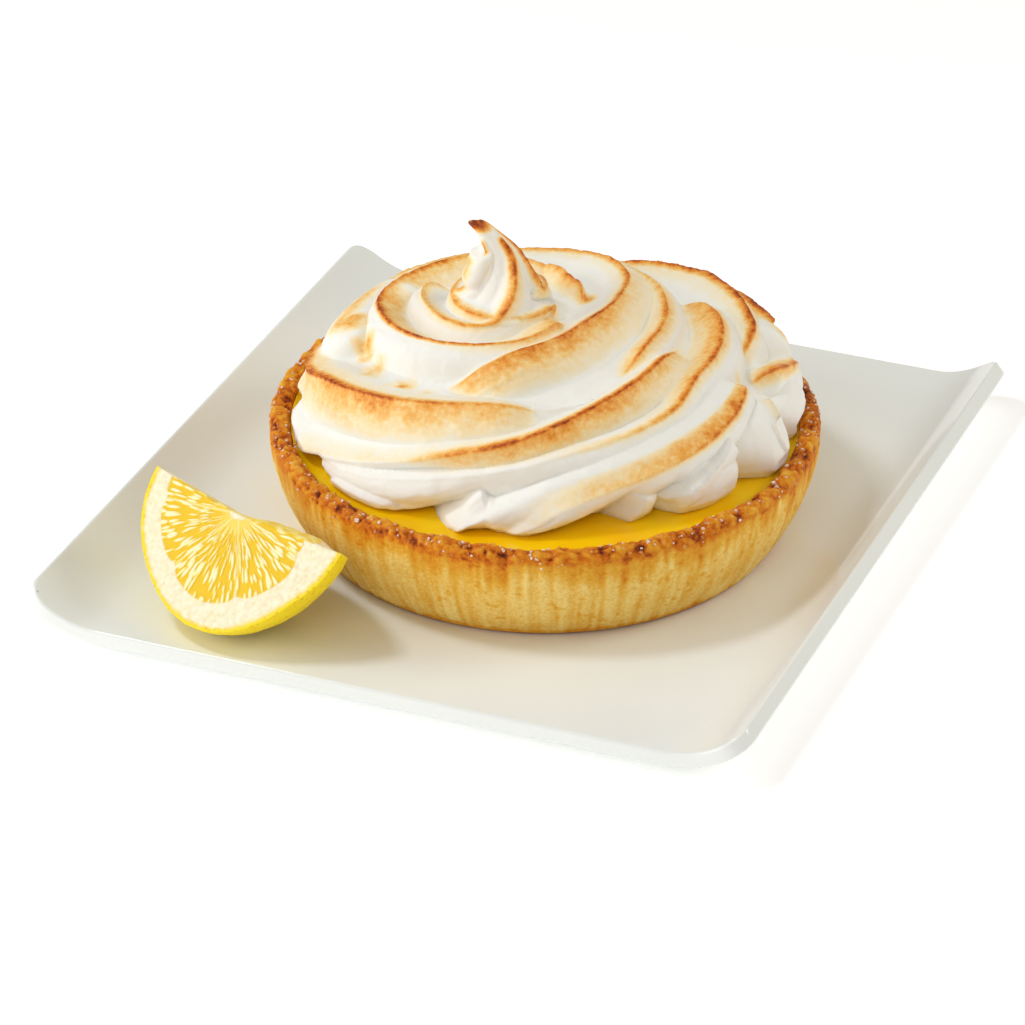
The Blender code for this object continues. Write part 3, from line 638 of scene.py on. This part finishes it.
# Each ridge: where its crest runs (azimuth in degrees, level), how tall it is, the width of its hollow
# upper side and of its full lower side in millimetres, then how the torch coloured it, as evenly spaced
# strengths along the crest: the crest line, and the width and strengths of the bands under and over it
plainRidge = dict(line=0, under=(1, 0), over=(1, 0), round=False, toEdge=False, fromTip=False)
ridges = (
    dict(path=((340, 0.05), (322, 0.1), (296, 0.163), (263, 0.227), (210, 0.25), (165, 0.33),
         (140, 0.38)), tall=3.6, upper=5, lower=8, fromTip=True,
         line=(0.95, 0.8, 0.7, 0.6, 0.5, 0.35, 0.2), under=(4, (0.4, 0.3, 0.2, 0.12, 0.05)),
         over=(3, (0.3, 0.2, 0.12, 0.08))),
    dict(path=((247, 0.05), (245, 0.1), (226, 0.14), (170, 0.22)), tall=2.2, upper=3, lower=5,
         fromTip=True, line=(0.7, 0.6, 0.6, 0.2), under=(3, (0.3, 0.2, 0.1)), over=(3, (0.2, 0.1))),
    dict(path=((62, 0.015), (46, 0.05), (25, 0.1), (8, 0.16), (356, 0.2), (345, 0.24)), tall=2.2,
         upper=4, lower=6, fromTip=True, line=(0.9, 0.9, 0.8, 0.7, 0.5, 0.2),
         under=(4.5, (0.4, 0.35, 0.3, 0.1)), over=(3, (0.2, 0.1))),
    dict(path=((105, 0.467), (90, 0.427), (76, 0.37), (66, 0.353), (56, 0.363)), tall=2.8, upper=4,
         lower=5, line=(0.3, 0.5, 0.6, 0.7, 0.7), under=(4, (0.1, 0.1, 0.2, 0.4, 0.6)),
         over=(3.5, (0.2, 0.3, 0.3, 0.4, 0.5))),
    dict(path=((367, 0.29), (337, 0.25), (302, 0.3), (270, 0.34), (237, 0.395), (203, 0.46),
         (174, 0.52), (140, 0.53), (100, 0.46), (56, 0.36)), tall=4.4, upper=8, lower=9,
         line=(0.2, 0.4, 0.6, 0.8, 0.9, 0.85, 0.8, 0.65, 0.45, 0.2),
         under=(5.5, (0.45, 0.5, 0.3, 0.12, 0.05, 0.05, 0.1, 0.1, 0.1, 0.1)),
         over=(8, (0.3, 0.35, 0.2, 0.15, 0.3, 0.42, 0.4, 0.25, 0.15, 0.1))),
    dict(path=((196, 0.72), (165, 0.68), (130, 0.63), (98, 0.61), (66, 0.5), (34, 0.39), (-10, 0.315),
         (-57, 0.357), (-86, 0.45), (-104, 0.55)), tall=4.8, upper=10, lower=11,
         line=(0.2, 0.3, 0.45, 0.55, 0.6, 0.75, 0.85, 0.75, 0.55, 0.25),
         under=(12, (0.05, 0.1, 0.15, 0.15, 0.15, 0.3, 0.55, 0.6, 0.5, 0.2)),
         over=(4, (0.1, 0.1, 0.15, 0.1, 0.1))),
    dict(path=((289, 0.58), (295, 0.607), (308, 0.6), (313, 0.573)), tall=2.2, upper=4, lower=5),
    dict(path=((100, 0.6), (66, 0.557), (31, 0.507), (-1, 0.49), (-28, 0.513)), tall=3.8, upper=7,
         lower=9, line=(0.3, 0.4, 0.6, 0.8, 0.6), under=(5, (0.1, 0.2, 0.35, 0.4, 0.25)),
         over=(5, (0.1, 0.1, 0.2, 0.3, 0.3))),
    dict(path=((50, 0.55), (40, 0.61), (12, 0.627), (-11, 0.637), (-32, 0.7), (-48, 0.735),
         (-64, 0.767), (-78, 0.81), (-98, 0.857), (-113, 0.887), (-131, 0.915)),
         tall=(4.6, 5, 5, 5, 4.4, 3.8, 3.4, 3.2, 3.2, 3.2, 2.6), upper=(9, 9, 9, 8, 7, 5, 4, 3),
         lower=(11, 10, 8, 7, 6), toEdge=True, line=(0.15, 0.5, 0.8, 0.8, 0.6, 0.25, 0.1, 0, 0, 0, 0),
         under=(4, (0.1, 0.3, 0.4, 0.3, 0.15, 0.08, 0, 0, 0, 0, 0)),
         over=(7, (0.12, 0.4, 0.45, 0.35, 0.12, 0, 0, 0, 0, 0, 0))),
    dict(path=((14, 0.56), (-10, 0.55), (-30, 0.575), (-49, 0.62), (-78, 0.737), (-96, 0.8),
         (-107, 0.84), (-126, 0.893), (-142, 0.94)), tall=(4.6, 4.6, 4.8, 4.8, 4.6, 4.4, 4, 3.6, 3.2),
         upper=8, lower=(11, 11, 10, 9, 7, 4.6, 3.6, 3.4, 3.2), toEdge=True,
         line=(0.3, 0.7, 0.85, 0.9, 0.95, 0.5, 0.05, 0, 0),
         under=(9.5, (0.2, 0.3, 0.45, 0.55, 0.5, 0.2, 0, 0, 0)), over=(4, (0.1, 0.1))),
    dict(path=((300, 0.61), (276, 0.617), (240, 0.693), (218, 0.75), (203, 0.807), (184, 0.83),
         (160, 0.85)), tall=(5, 5, 5, 5, 5, 3.4, 2), upper=9, lower=12,
         line=(0.15, 0.5, 0.85, 0.9, 0.9, 0.7, 0.4), under=(11, (0, 0.35, 0.52, 0.45, 0.35, 0.2, 0.1)),
         over=(5, (0.1, 0.15, 0.25, 0.1))),
    dict(path=((2, 0.72), (-6, 0.742), (-16, 0.772), (-34, 0.815), (-46, 0.84), (-58, 0.865),
         (-68, 0.895), (-78, 0.96)), tall=(3, 4.4, 5, 5, 4.6, 4.2, 3.8, 3.4), upper=(6, 7, 8, 7, 7),
         lower=(9, 8, 7), round=True, toEdge=True, line=(0.8, 0.85, 0.75, 0.6, 0.35, 0.15, 0, 0),
         under=(2.5, (0.3, 0.3, 0.1, 0)),
         over=((1.4, 2.8, 3.6, 4, 4.4), (0.3, 0.5, 0.5, 0.45, 0.36, 0.2, 0.1, 0.04))),
    dict(path=((-84, 0.868), (-88, 0.9), (-91, 0.94), (-93, 1.0)), tall=2.6, upper=8, lower=6,
         toEdge=True),
    dict(path=((130, 0.7), (100, 0.645), (83, 0.645), (74, 0.7), (62, 0.72), (48, 0.72), (36, 0.72),
         (22, 0.71), (10, 0.7)), tall=(2, 2.6, 3.6, 5.6, 7, 6.6, 5.2, 4.4, 4), upper=9, lower=10,
         line=(0.4, 0.6, 0.85, 0.9, 0.9, 0.95, 0.9), under=(4, (0.1, 0.2, 0.3, 0.35, 0.3, 0.2)),
         over=(5, (0.15, 0.15, 0.15))),
    dict(path=((82, 0.84), (64, 0.79), (52, 0.78), (43, 0.8), (36, 0.83)), tall=6.4, upper=6, lower=9,
         line=(0.4, 0.7, 0.9, 0.85, 0.6), under=(4, (0.2, 0.3)), over=(5, (0.2, 0.35, 0.4, 0.35))),
    dict(path=((8, 0.76), (17, 0.8), (28, 0.85), (34, 0.88)), tall=5, upper=5, lower=7,
         line=(0.5, 0.9, 0.7, 0.2), under=(4, (0.3, 0.6, 0.2)), over=(3, (0.3, 0.5, 0.2))),
    dict(path=((357, 0.785), (355, 0.835), (355, 0.885), (358, 0.925)), tall=5.2, upper=4, lower=4.5,
         line=(0.2, 0.12, 0.05, 0)),
    dict(path=((339, 0.81), (334, 0.845), (325, 0.885), (315, 0.925)), tall=4.8, upper=2.2, lower=9),
    dict(path=((150, 0.94), (110, 0.92), (80, 0.9), (58, 0.88)), tall=3.6, upper=8, lower=8,
         line=(0.3, 0.45, 0.4, 0.3), under=(7, (0.2, 0.3, 0.3, 0.2)), over=(4, (0.1, 0.1))),
)

# Petals round the star where the piping began, and lobes along the lower edge: inner end, outer end,
# height, half width and colour of the outer end
petals = (
    ((212, 0.075), (218, 0.135), 3.2, 3.4, 0.3),
    ((24, 0.77), (44, 0.86), 6.2, 7, 0.35),
    ((22, 0.8), (40, 0.93), 4.6, 8, 0.3),
    ((14, 0.79), (21, 0.98), 3.6, 11, 0),
    ((352, 0.765), (354, 0.99), 4.6, 9.6, 0),
    ((346, 0.79), (345, 0.97), 3.4, 3.6, 0),
    ((335, 0.84), (328, 0.98), 4.0, 10.5, 0),
    ((312, 0.87), (308, 0.98), 3.0, 7, 0),
    ((285, 0.91), (283, 0.99), 2.4, 12, 0),
    ((236, 0.93), (240, 0.99), 2.4, 14, 0),
    ((206, 0.88), (206, 0.99), 2.8, 9, 0),
    ((155, 0.58), (193, 0.69), 5.0, 8.5, 0.4),
    ((146, 0.88), (146, 0.98), 3.0, 15, 0.2),
    ((109, 0.88), (109, 0.98), 3.0, 14, 0.2),
    ((72, 0.88), (72, 0.98), 3.0, 13, 0.2),
)

# Where the flame lingered off the crests: azimuth, level, radius in millimetres, strength
scorches = (
    (196, 0.62, 5, 0.5), (209, 0.593, 5, 0.45), (178, 0.75, 6, 0.4), (222, 0.615, 5, 0.32),
    (240, 0.6, 5, 0.28), (252, 0.59, 4, 0.2), (60, 0.37, 4, 0.6), (2, 0.815, 1.6, 0.45),
    (3, 0.72, 2.5, 0.35), (300, 0.94, 7, 0.1), (49, 0.79, 5, 0.4), (44, 0.83, 5, 0.35),
    (36, 0.87, 5, 0.4),
)


def torchedMeringue():
    # dry white foam: matt and slightly clear, so its shade is pale; the torch turns its sugar to caramel
    look = meringueLook
    made, add, shader, place = newMaterial("torchedMeringue")
    toast = add("Attribute", {}, {"attribute_name": "toast"})
    # the flame catches the tops of a coarse grain, and bubbles stay pale
    grain = add("TexNoise", {"Vector": place, "Scale": perMm(look["grainSize"]), "Detail": 4,
                             "Roughness": 0.6})
    catch = add("MapRange", {"Value": grain.outputs[0], "From Min": 0.3, "From Max": 0.7,
                             "To Min": 0.66, "To Max": 1.3})
    bubbles = add("TexVoronoi", {"Vector": place, "Scale": perMm(look["bubbleSize"]), "Detail": 2})
    pale = add("MapRange", {"Value": bubbles.outputs["Distance"], "From Min": 0.05, "From Max": 0.3,
                            "To Min": 0.75, "To Max": 1})
    burn = add("Math", {0: toast.outputs["Fac"], 1: catch.outputs[0]}, {"operation": "MULTIPLY"})
    spotted = add("Math", {0: burn.outputs[0], 1: pale.outputs[0]}, {"operation": "MULTIPLY"})
    browns = list(zip((0.1, 0.25, 0.42, 0.6, 0.78, 1), look["toast"]))
    tint = add("ValToRGB", {"Fac": spotted.outputs[0]}, stops=[(0.02, look["foam"])] + browns)
    foam = add("TexNoise", {"Vector": place, "Scale": perMm(look["foamSize"]), "Detail": 3})
    bump = add("Bump", {"Height": foam.outputs[0], "Strength": 0.25, "Distance": 0.2 * mm})
    setInputs(shader, {"Base Color": tint.outputs[0], "Roughness": 0.5, "IOR": 1.4,
                       "Subsurface Weight": 0.25, "Subsurface Radius": (1.0, 0.9, 0.7),
                       "Subsurface Scale": 2 * mm, "Normal": bump.outputs[0]})
    return made


def domePoint(azimuth, level):
    look = meringueLook
    spreadWay = math.radians(look["spreadAzimuth"])
    long, short, height, midAlong, midAcross = (
        through(level, look["level"], look[key]) for key in ("long", "short", "height", "along", "across"))
    along = midAlong + long * np.cos(azimuth - spreadWay)
    across = midAcross + short * np.sin(azimuth - spreadWay)
    c, s = math.cos(spreadWay), math.sin(spreadWay)
    return pointsAt(along * c - across * s, along * s + across * c, height)


def skirtShare(azimuth, level):
    # how far the lower edge stands out; the clefts slant with the piping, except near the star
    look = meringueLook
    degrees = np.degrees(azimuth) % 360
    slant = smoothStep((degrees - 150) / 40) * smoothStep((335 - degrees) / 40)
    edge = np.interp(degrees - look["skirtSlant"] * slant * (1 - level), *zip(*skirt), period=360)
    share = (level - look["skirtFrom"]) / (look["skirtTo"] - look["skirtFrom"])
    return 1 + (edge - 1) * smoothStep(share)


def domeFrame(azimuth, level):
    # the plain dome's point, its outward normal and its downhill direction
    small = 1e-3
    point = domePoint(azimuth, level)
    down = domePoint(azimuth, np.minimum(level + small, 1))
    down -= domePoint(azimuth, np.maximum(level - small, 0))
    sideways = domePoint(azimuth + small, level) - domePoint(azimuth - small, level)
    return point, unit(np.cross(down, sideways)), unit(down)


def crestLine(path, samples=110):
    azimuth = np.radians([k[0] for k in path])
    level = np.array([k[1] for k in path])
    marks = np.linspace(0, 1, len(path))
    share = np.linspace(0, 1, samples)
    point, normal, down = domeFrame(through(share, marks, azimuth), through(share, marks, level))
    ahead = unit(np.gradient(point, axis=0))
    side = np.cross(normal, ahead)
    side *= np.sign(np.sum(side * down, -1, keepdims=True) + 1e-9)
    return point, ahead, side


def nearest(points, crest, ahead, side):
    # signed distance from a crest, positive below it, and the share of its length where that is
    i = (np.sum(crest ** 2, 1) - 2 * points @ crest.T).argmin(1)
    gap = points - crest[i]
    spacing = np.linalg.norm(np.gradient(crest, axis=0), axis=1)[i]
    slide = np.clip(np.sum(gap * ahead[i], -1), np.where(i == 0, 0, -spacing),
                    np.where(i == len(crest) - 1, 0, spacing))
    gap = gap - ahead[i] * slide[:, None]
    sign = np.where(np.sum(gap * side[i], -1) >= 0, 1, -1)
    share = (i + slide / spacing) / (len(crest) - 1)
    return sign * np.linalg.norm(gap, axis=1), share, side[i]


def fadeAway(distance, width):
    # strongest at the crest and gone at the width
    return (1 - np.clip(np.abs(distance) / width, 0, 1)) ** 1.3


def ridgeAt(ridge, number, point, slim):
    # one ridge at each point: its rise, bare shape, torch colour, downhill side and drag lines
    look = meringueLook
    away, share, side = nearest(point, *crestLine(ridge["path"]))
    fade = 1 if ridge["toEdge"] else smoothStep((1 - share) / 0.2)
    if not ridge["fromTip"]:
        fade = fade * smoothStep(share / 0.16)
    below = np.clip(away / (spread(ridge["lower"], share) * slim), 0, 1)
    above = np.clip(-away / (spread(ridge["upper"], share) * slim), 0, 1)
    hollow = np.sqrt(1 - above ** 2) if ridge["round"] else (1 - above) ** 2
    shape = np.where(away >= 0, 1 - 0.25 * below - 0.75 * below ** 2, hollow)
    rise = spread(ridge["tall"], share) * slim * fade * shape
    rise = rise + look["fin"] * slim * fade * np.exp(-np.abs(away) / look["finWidth"])
    line = spread(ridge["line"], share) * fadeAway(away, look["lineWidth"])
    width, strength = ridge["under"]
    under = spread(strength, share) * fadeAway(away, width) * (away >= 0)
    width, strength = ridge["over"]
    band = 1 - np.clip(np.abs(away) / spread(width, share), 0, 1) ** 3
    over = band if ridge["round"] else fadeAway(away, width)
    over = over * spread(strength, share) * (away < 0)
    # fine drag lines run along the piping
    drag = bumpy(pointsAt(away / 1.1, share * 4, number * 9), 1, 30)
    return rise, shape, np.maximum(line, under + over), side, drag


def meringueRelief(azimuth, level):
    # height above the plain dome, lean of the crests and how brown the torch made each point
    look = meringueLook
    point, normal, _ = domeFrame(azimuth, level)
    slim = np.clip(through(level, look["level"], look["short"]) / 11, 0.05, 1)
    height = np.zeros(len(point))
    lean = np.zeros_like(point)
    burnt = np.zeros(len(point))
    weights = np.ones(len(point))
    for number, ridge in enumerate(ridges):
        rise, shape, tone, side, drag = ridgeAt({**plainRidge, **ridge}, number, point, slim)
        weight = np.exp(rise / look["blend"]) - 1
        lean += side * (weight * look["lean"] * rise * shape ** 2)[:, None]
        burnt += weight * tone
        weights += weight
        height = np.where(rise > height, rise + look["dragLines"] * drag * smoothStep(rise), height)
    for inner, outer, tall, half, colour in petals:
        away, share, _ = nearest(point, *crestLine((inner, outer)))
        rise = tall * smoothStep(0.15 + share / 0.35)
        rise = rise * np.sqrt(np.clip(1 - (away / half) ** 2, 0, 1))
        weight = np.exp(rise / look["blend"]) - 1
        burnt += weight * colour * smoothStep((share - 0.2) / 0.4) * fadeAway(away, half * 0.6)
        weights += weight
        height = np.maximum(height, rise)
    toast = burnt / weights
    lean /= weights[:, None]
    for place, ring, radius, strength in scorches:
        middle = domePoint(np.radians([place]), np.array([ring]))
        apart = np.linalg.norm(point - middle, axis=1)
        patchy = 0.65 + 0.6 * bumpy(point, 1.8, 46)
        toast = np.maximum(toast, strength * fadeAway(apart, radius) * 1.4 * patchy)
    # between the rolls the surface sinks
    deep = smoothStep((level - 0.2) / 0.1) * smoothStep((1 - level) / 0.1)
    height -= look["sink"] * deep * (1 - smoothStep(height / 3.2))
    toast = np.maximum(toast, 0.85 * smoothStep((0.035 - level) / 0.02))
    return point, normal, height, lean, toast


def makeMeringue():
    look = meringueLook
    meringueBase = curdTop - curdLook["meniscus"] - 0.1
    azimuth, level = np.meshgrid(np.linspace(0, 2 * math.pi, look["columns"], endpoint=False),
                                 np.linspace(0, 1, look["rows"]))
    shape = azimuth.shape
    azimuth = azimuth.ravel()
    level = level.ravel()
    point, normal, height, lean, toast = meringueRelief(azimuth, level)
    middle = domePoint(np.array([0, math.pi]), np.array([1, 1])).mean(0)[:2]
    settle = smoothStep((1 - level) / 0.05)[:, None]
    place = point + normal * height[:, None] * (0.25 + 0.75 * settle) + lean * settle
    rough = sum(tall * bumpy(place, wide, 41 + i) for i, (tall, wide) in enumerate(look["uneven"]))
    blister = toast * look["blister"] * bumpy(place, 1.2, 44)
    slim = smoothStep(level / 0.12)
    place += normal * ((rough + blister) * slim)[:, None]
    place[:, 2] = np.where(level >= 1, 0, np.maximum(place[:, 2], 0.02))
    low = place[:, :2] - middle
    place[:, :2] = middle + low * skirtShare(azimuth, level)[:, None]
    # low parts stay inside the rim of the case
    room = wallRadius(curdTop) - caseLook["wall"] - 0.6
    reach = np.linalg.norm(place[:, :2], axis=1)
    low = 1 - smoothStep((place[:, 2] - 3.2) / 2.5)
    place[:, :2] *= (1 - low * np.clip(1 - room / np.maximum(reach, 1), 0, 1))[:, None]
    place += (tartAxis[0], tartAxis[1], meringueBase)
    toast = np.clip(toast * (1 + 0.3 * bumpy(place, 3.5, 45)), 0, 1.1)
    rings = place.reshape(*shape, 3)
    return addPiece("meringueSwirl", *closedGrid(rings), torchedMeringue(), "meringue", "meringue",
                    {"toast": toast})


makeMeringue()
print("meringue made")


# Lemon wedge: a quarter of a lemon, cut twice through its middle

wedgeLook = {
    "centre": (-45, -73.6), "radius": 28.3, "length": 24, "edgeAzimuth": -16.5, "faceSlope": 48,
    # the round face's outline: angle from its right end, round below, and distance from the core
    "outline": ((0, 30.2), (17, 29.2), (36, 27.8), (52, 28), (74, 28.7), (107, 28.3), (128, 27.7),
                (150, 27.6), (180, 26.5)),
    "pulpOutline": ((0, 19.8), (17, 21.4), (36, 21.9), (66, 21.6), (95, 22.3), (125, 21.7), (156, 22.1),
                    (180, 21.5)),
    "rightRise": 0.3, "leftRise": 3.2, "rind": 1.9, "core": 2.1, "bulge": 1.8,
    "membranes": (12, 64, 121, 166), "sacWidth": 1.0, "sacLength": 4.8, "sacDepth": 0.26,
    "rindColour": "#FADC00", "gland": "#EABF00", "pithColour": "#FBF4D6", "felt": "#EFE4B8",
    # shine is a painted highlight colour on the middles of the juice sacs
    "juice": "#F2C806", "sac": "#FBDF68", "shine": "#FFF3BE", "feltSize": 1.2, "glandSize": 1.5,
    "columns": 460,
}


def freshLemon():
    # waxed yellow rind, dry white pith, and wet juice sacs that point at the middle, with a painted
    # highlight on each sac
    look = wedgeLook
    made, add, shader, place = newMaterial("freshLemon")
    rind = add("Attribute", {}, {"attribute_name": "rind"})
    pulp = add("Attribute", {}, {"attribute_name": "pulp"})
    sac = add("Attribute", {}, {"attribute_name": "sac"})
    # pith is felted
    felt = add("TexNoise", {"Vector": place, "Scale": perMm(look["feltSize"]), "Detail": 3})
    white = add("ValToRGB", {"Fac": felt.outputs[0]},
                stops=[(0.3, look["felt"]), (0.6, look["pithColour"])])
    # the flesh ramp runs from juice to sac colour and ends in shine, a painted highlight on each sac's
    # middle
    flesh = add("ValToRGB", {"Fac": sac.outputs["Fac"]},
                stops=[(0, look["juice"]), (0.25, look["juice"]), (0.55, look["sac"]), (1, look["shine"])])
    # oil glands in the rind
    glands = add("TexVoronoi", {"Vector": place, "Scale": perMm(look["glandSize"])})
    skin = add("ValToRGB", {"Fac": glands.outputs["Distance"]},
               stops=[(0.08, look["gland"]), (0.4, look["rindColour"])])
    cut = add("Mix", {0: pulp.outputs["Fac"], 6: white.outputs[0], 7: flesh.outputs[0]},
              {"data_type": "RGBA"})
    tint = add("Mix", {0: rind.outputs["Fac"], 6: cut.outputs[2], 7: skin.outputs[0]},
               {"data_type": "RGBA"})
    wet = add("MapRange", {"Value": sac.outputs["Fac"], "To Min": 0.48, "To Max": 0.25})
    dimple = add("Math", {0: glands.outputs["Distance"], 1: rind.outputs["Fac"]}, {"operation": "MULTIPLY"})
    bump = add("Bump", {"Height": dimple.outputs[0], "Strength": 0.35, "Distance": 0.3 * mm})
    setInputs(shader, {"Base Color": tint.outputs[2], "Roughness": wet.outputs[0], "IOR": 1.4,
                       "Subsurface Weight": 0.3, "Subsurface Radius": (1.0, 0.8, 0.3),
                       "Subsurface Scale": 2 * mm, "Normal": bump.outputs[0]})
    return made


def wedgeShape(points):
    # swells an even quarter to this lemon's own outline and lifts the two ends of its crease
    look = wedgeLook
    x, y, z = points[..., 0], points[..., 1], points[..., 2]
    turn = np.degrees(np.arctan2(np.hypot(z, y * look["radius"] / look["length"]), x))
    scale = through(turn, *zip(*look["outline"])) / look["radius"]
    x = x * scale
    rise = np.where(x > 0, look["rightRise"], look["leftRise"]) * (np.abs(x) / look["radius"]) ** 1.3
    return pointsAt(x, y, z * scale + rise)


def roundFace(x, z):
    # relief of the round cut face, and what is rind, pulp and sac there; the sac tone also carries a
    # painted highlight on each sac's raised middle
    look = wedgeLook
    flat = pointsAt(x, z, 0)
    r = np.hypot(x, z)
    theta = np.arctan2(-z, x)
    degrees = np.degrees(theta)
    outer = through(degrees, *zip(*look["outline"]))
    limit = through(degrees, *zip(*look["pulpOutline"]))
    limit = limit + 0.45 * bumpy(pointsAt(theta * 12, 0, 0), 2.5, 51)
    wall = np.zeros_like(r)
    for way in look["membranes"]:
        off = np.radians(degrees - way) * np.maximum(r, 1)
        wall = np.maximum(wall, np.exp(-(off / 0.38) ** 2))
        limit = limit - 0.9 * np.exp(-(off / 1.5) ** 2)
    pulp = smoothStep((limit - r) / 0.5)
    core = smoothStep((look["core"] + 0.5 * bumpy(flat, 1.2, 52) - np.hypot(x * 0.55, z)) / 0.6)
    pulp = pulp * (1 - core)
    # sacs lie in rows that narrow towards the core
    rows = theta * 18 / look["sacWidth"] + 0.35 * bumpy(flat, 3, 54)
    first, _ = cells(rows, r / look["sacLength"] + 0.4 * bumpy(flat, 4, 53), 5)
    sac = 1 - smoothStep((first - 0.22 - 0.16 * bumpy(flat, 2.2, 58)) / 0.3)
    near = smoothStep((r - 1.5) / 7)
    # the sac tone rises to a painted highlight at each sac's middle, where the relief bulges
    tone = np.maximum(sac * (0.45 + 0.55 * near), 0.5 * (1 - near))
    tone = np.maximum(tone, 0.75 * wall)
    relief = look["sacDepth"] * (sac - 0.5) * pulp * near
    rind = smoothStep((r - (outer - look["rind"]) + 0.4 * bumpy(flat, 0.9, 59)) / 1.5)
    felt = 0.06 * bumpy(flat, 1.1, 55) * (1 - pulp)
    return relief + felt, rind, pulp, tone * pulp


def makeWedge():
    look = wedgeLook
    radius, length = look["radius"], look["length"]
    phi = np.linspace(0.02, math.pi - 0.02, look["columns"])[:, None]
    s = np.concatenate([np.linspace(0.02, 0.985, 150), [0.995]])
    turn = np.linspace(0.02, math.pi / 2 - 0.02, 90)
    t = np.concatenate([[0.995], np.linspace(0.985, 0.02, 70)])
    x = radius * np.cos(phi)
    tall = radius * np.sin(phi)
    deep = length * np.sin(phi)
    # round cut face, from the crease down to the rind
    faceA = wedgeShape(pointsAt(x, 0, -tall * s))
    rise = wedgeShape(pointsAt(x, 0, 0 * s))[..., 2]
    relief, rindA, pulpA, sacA = roundFace(faceA[..., 0], faceA[..., 2] - rise)
    faceA[..., 1] -= relief
    # rind, from the round face back to the long cut
    skin = pointsAt(x, deep * np.sin(turn), -tall * np.cos(turn))
    out = unit(skin / (radius ** 2, length ** 2, radius ** 2))
    skin = wedgeShape(skin)
    skin = skin + out * (0.12 * bumpy(skin, 4, 56) + 0.05 * bumpy(skin, 1.5, 57))[..., None]
    # long cut, from the rind back to the crease: one segment's side, which swells a little
    faceB = wedgeShape(pointsAt(x, deep * t, 0))
    inset = np.hypot(x / radius, deep * t / length)
    pulpB = smoothStep((0.76 - inset) / 0.03)
    firstB, _ = cells(faceB[..., 0] / 4.5, faceB[..., 1] / 1.3, 6)
    sacB = 1 - smoothStep((firstB - 0.2) / 0.25)
    swell = look["bulge"] * smoothStep((faceB[..., 0] - 1) / 6) * smoothStep((24 - faceB[..., 0]) / 6)
    faceB[..., 2] += swell * np.sin(math.pi * t ** 0.8) + 0.25 * (sacB - 0.5) * pulpB
    rindB = smoothStep((inset - 0.955) / 0.012)
    rings = np.concatenate([faceA, skin, faceB], 1)
    plain = np.zeros(skin.shape[:2])
    # on the long cut the sac tone reaches partway towards the painted highlight
    fields = {"rind": (rindA, plain + 1, rindB), "pulp": (pulpA, plain, pulpB),
              "sac": (sacA, plain, 0.45 + 0.3 * sacB)}
    fields = {field: np.concatenate(parts, 1).ravel() for field, parts in fields.items()}
    slope = math.radians(look["faceSlope"])
    tip = Matrix.Rotation(slope - math.pi / 2, 3, "X")
    turnBy = Matrix.Rotation(math.radians(look["edgeAzimuth"]), 3, "Z") @ tip
    rings = rings @ np.array(turnBy).T
    lift = boxMm("lemon_wedge")[0][2] - rings[..., 2].min()
    rings = rings + (*look["centre"], lift)
    wedge = addPiece("lemonWedgeFresh", *closedGrid(rings), freshLemon(), "lemon_wedge", "lemon", fields)
    wedge.data.set_sharp_from_angle(angle=math.radians(60))
    return wedge


makeWedge()
print("lemon wedge made")


# Floor, light and camera

studio = {
    "floor": "#FFFFFF", "floorHalf": 8, "floorGlow": 0.24, "world": 0.43, "sky": "#FFF4E6",
    "key": dict(place=(-440, -200, 900), size=170, watts=2.75, tint="#EEF5FF"),
    "low": dict(place=(-820, -520, 360), size=600, watts=3.7, tint="#FBFCFF"),
    "side": dict(place=(640, 300, 520), size=300, watts=1.6, tint="#FFFFFF"),
    "fill": dict(place=(100, -900, 800), size=800, watts=1.25, tint="#F4F8FF"),
    "target": (6.4, -30.7, 19.8), "azimuth": 20.885, "elevation": 31.339, "distance": 1175.7,
    "lens": 174.66, "sensor": 36,
}


def makeFloor():
    made, _, shader, _ = newMaterial("matteFloor")
    # white card, lit from within a little, so it stays white in the picture
    setInputs(shader, {"Base Color": studio["floor"], "Roughness": 1, "Specular IOR Level": 0,
                       "Emission Color": studio["floor"], "Emission Strength": studio["floorGlow"]})
    mesh = bpy.data.meshes.new("floor")
    half = studio["floorHalf"]
    corners = [(-half, -half, 0), (half, -half, 0), (half, half, 0), (-half, half, 0)]
    mesh.from_pydata(corners, [], [(0, 1, 2, 3)])
    mesh.materials.append(made)
    addObject("floor", mesh)


def aim(thing, place, target):
    thing.location = Vector(place) * mm
    thing.rotation_euler = (Vector(target) - Vector(place)).to_track_quat("-Z", "Y").to_euler()


def makeLight(name, place, size, watts, tint):
    light = bpy.data.lights.new(name, "AREA")
    light.energy = watts
    light.color = srgb(tint)[:3]
    light.size = size * mm
    aim(addObject(name, light), place, studio["target"])


def makeStudio():
    scene = bpy.context.scene
    makeFloor()
    for name in ("key", "low", "side", "fill"):
        makeLight(name, **studio[name])
    world = bpy.data.worlds.new("paleRoom")
    scene.world = world
    world.use_nodes = True
    sky = world.node_tree.nodes["Background"]
    sky.inputs[0].default_value = srgb(studio["sky"])
    sky.inputs[1].default_value = studio["world"]
    scene.view_settings.view_transform = "Standard"
    a = math.radians(studio["azimuth"])
    e = math.radians(studio["elevation"])
    back = Vector((math.sin(a) * math.cos(e), -math.cos(a) * math.cos(e), math.sin(e)))
    lens = bpy.data.cameras.new("photoView")
    lens.sensor_width = studio["sensor"]
    lens.lens = studio["lens"]
    lens.clip_start = 0.05
    lens.clip_end = 50
    camera = addObject("photoView", lens)
    aim(camera, Vector(studio["target"]) + back * studio["distance"], studio["target"])
    scene.camera = camera


makeStudio()
print("studio made")
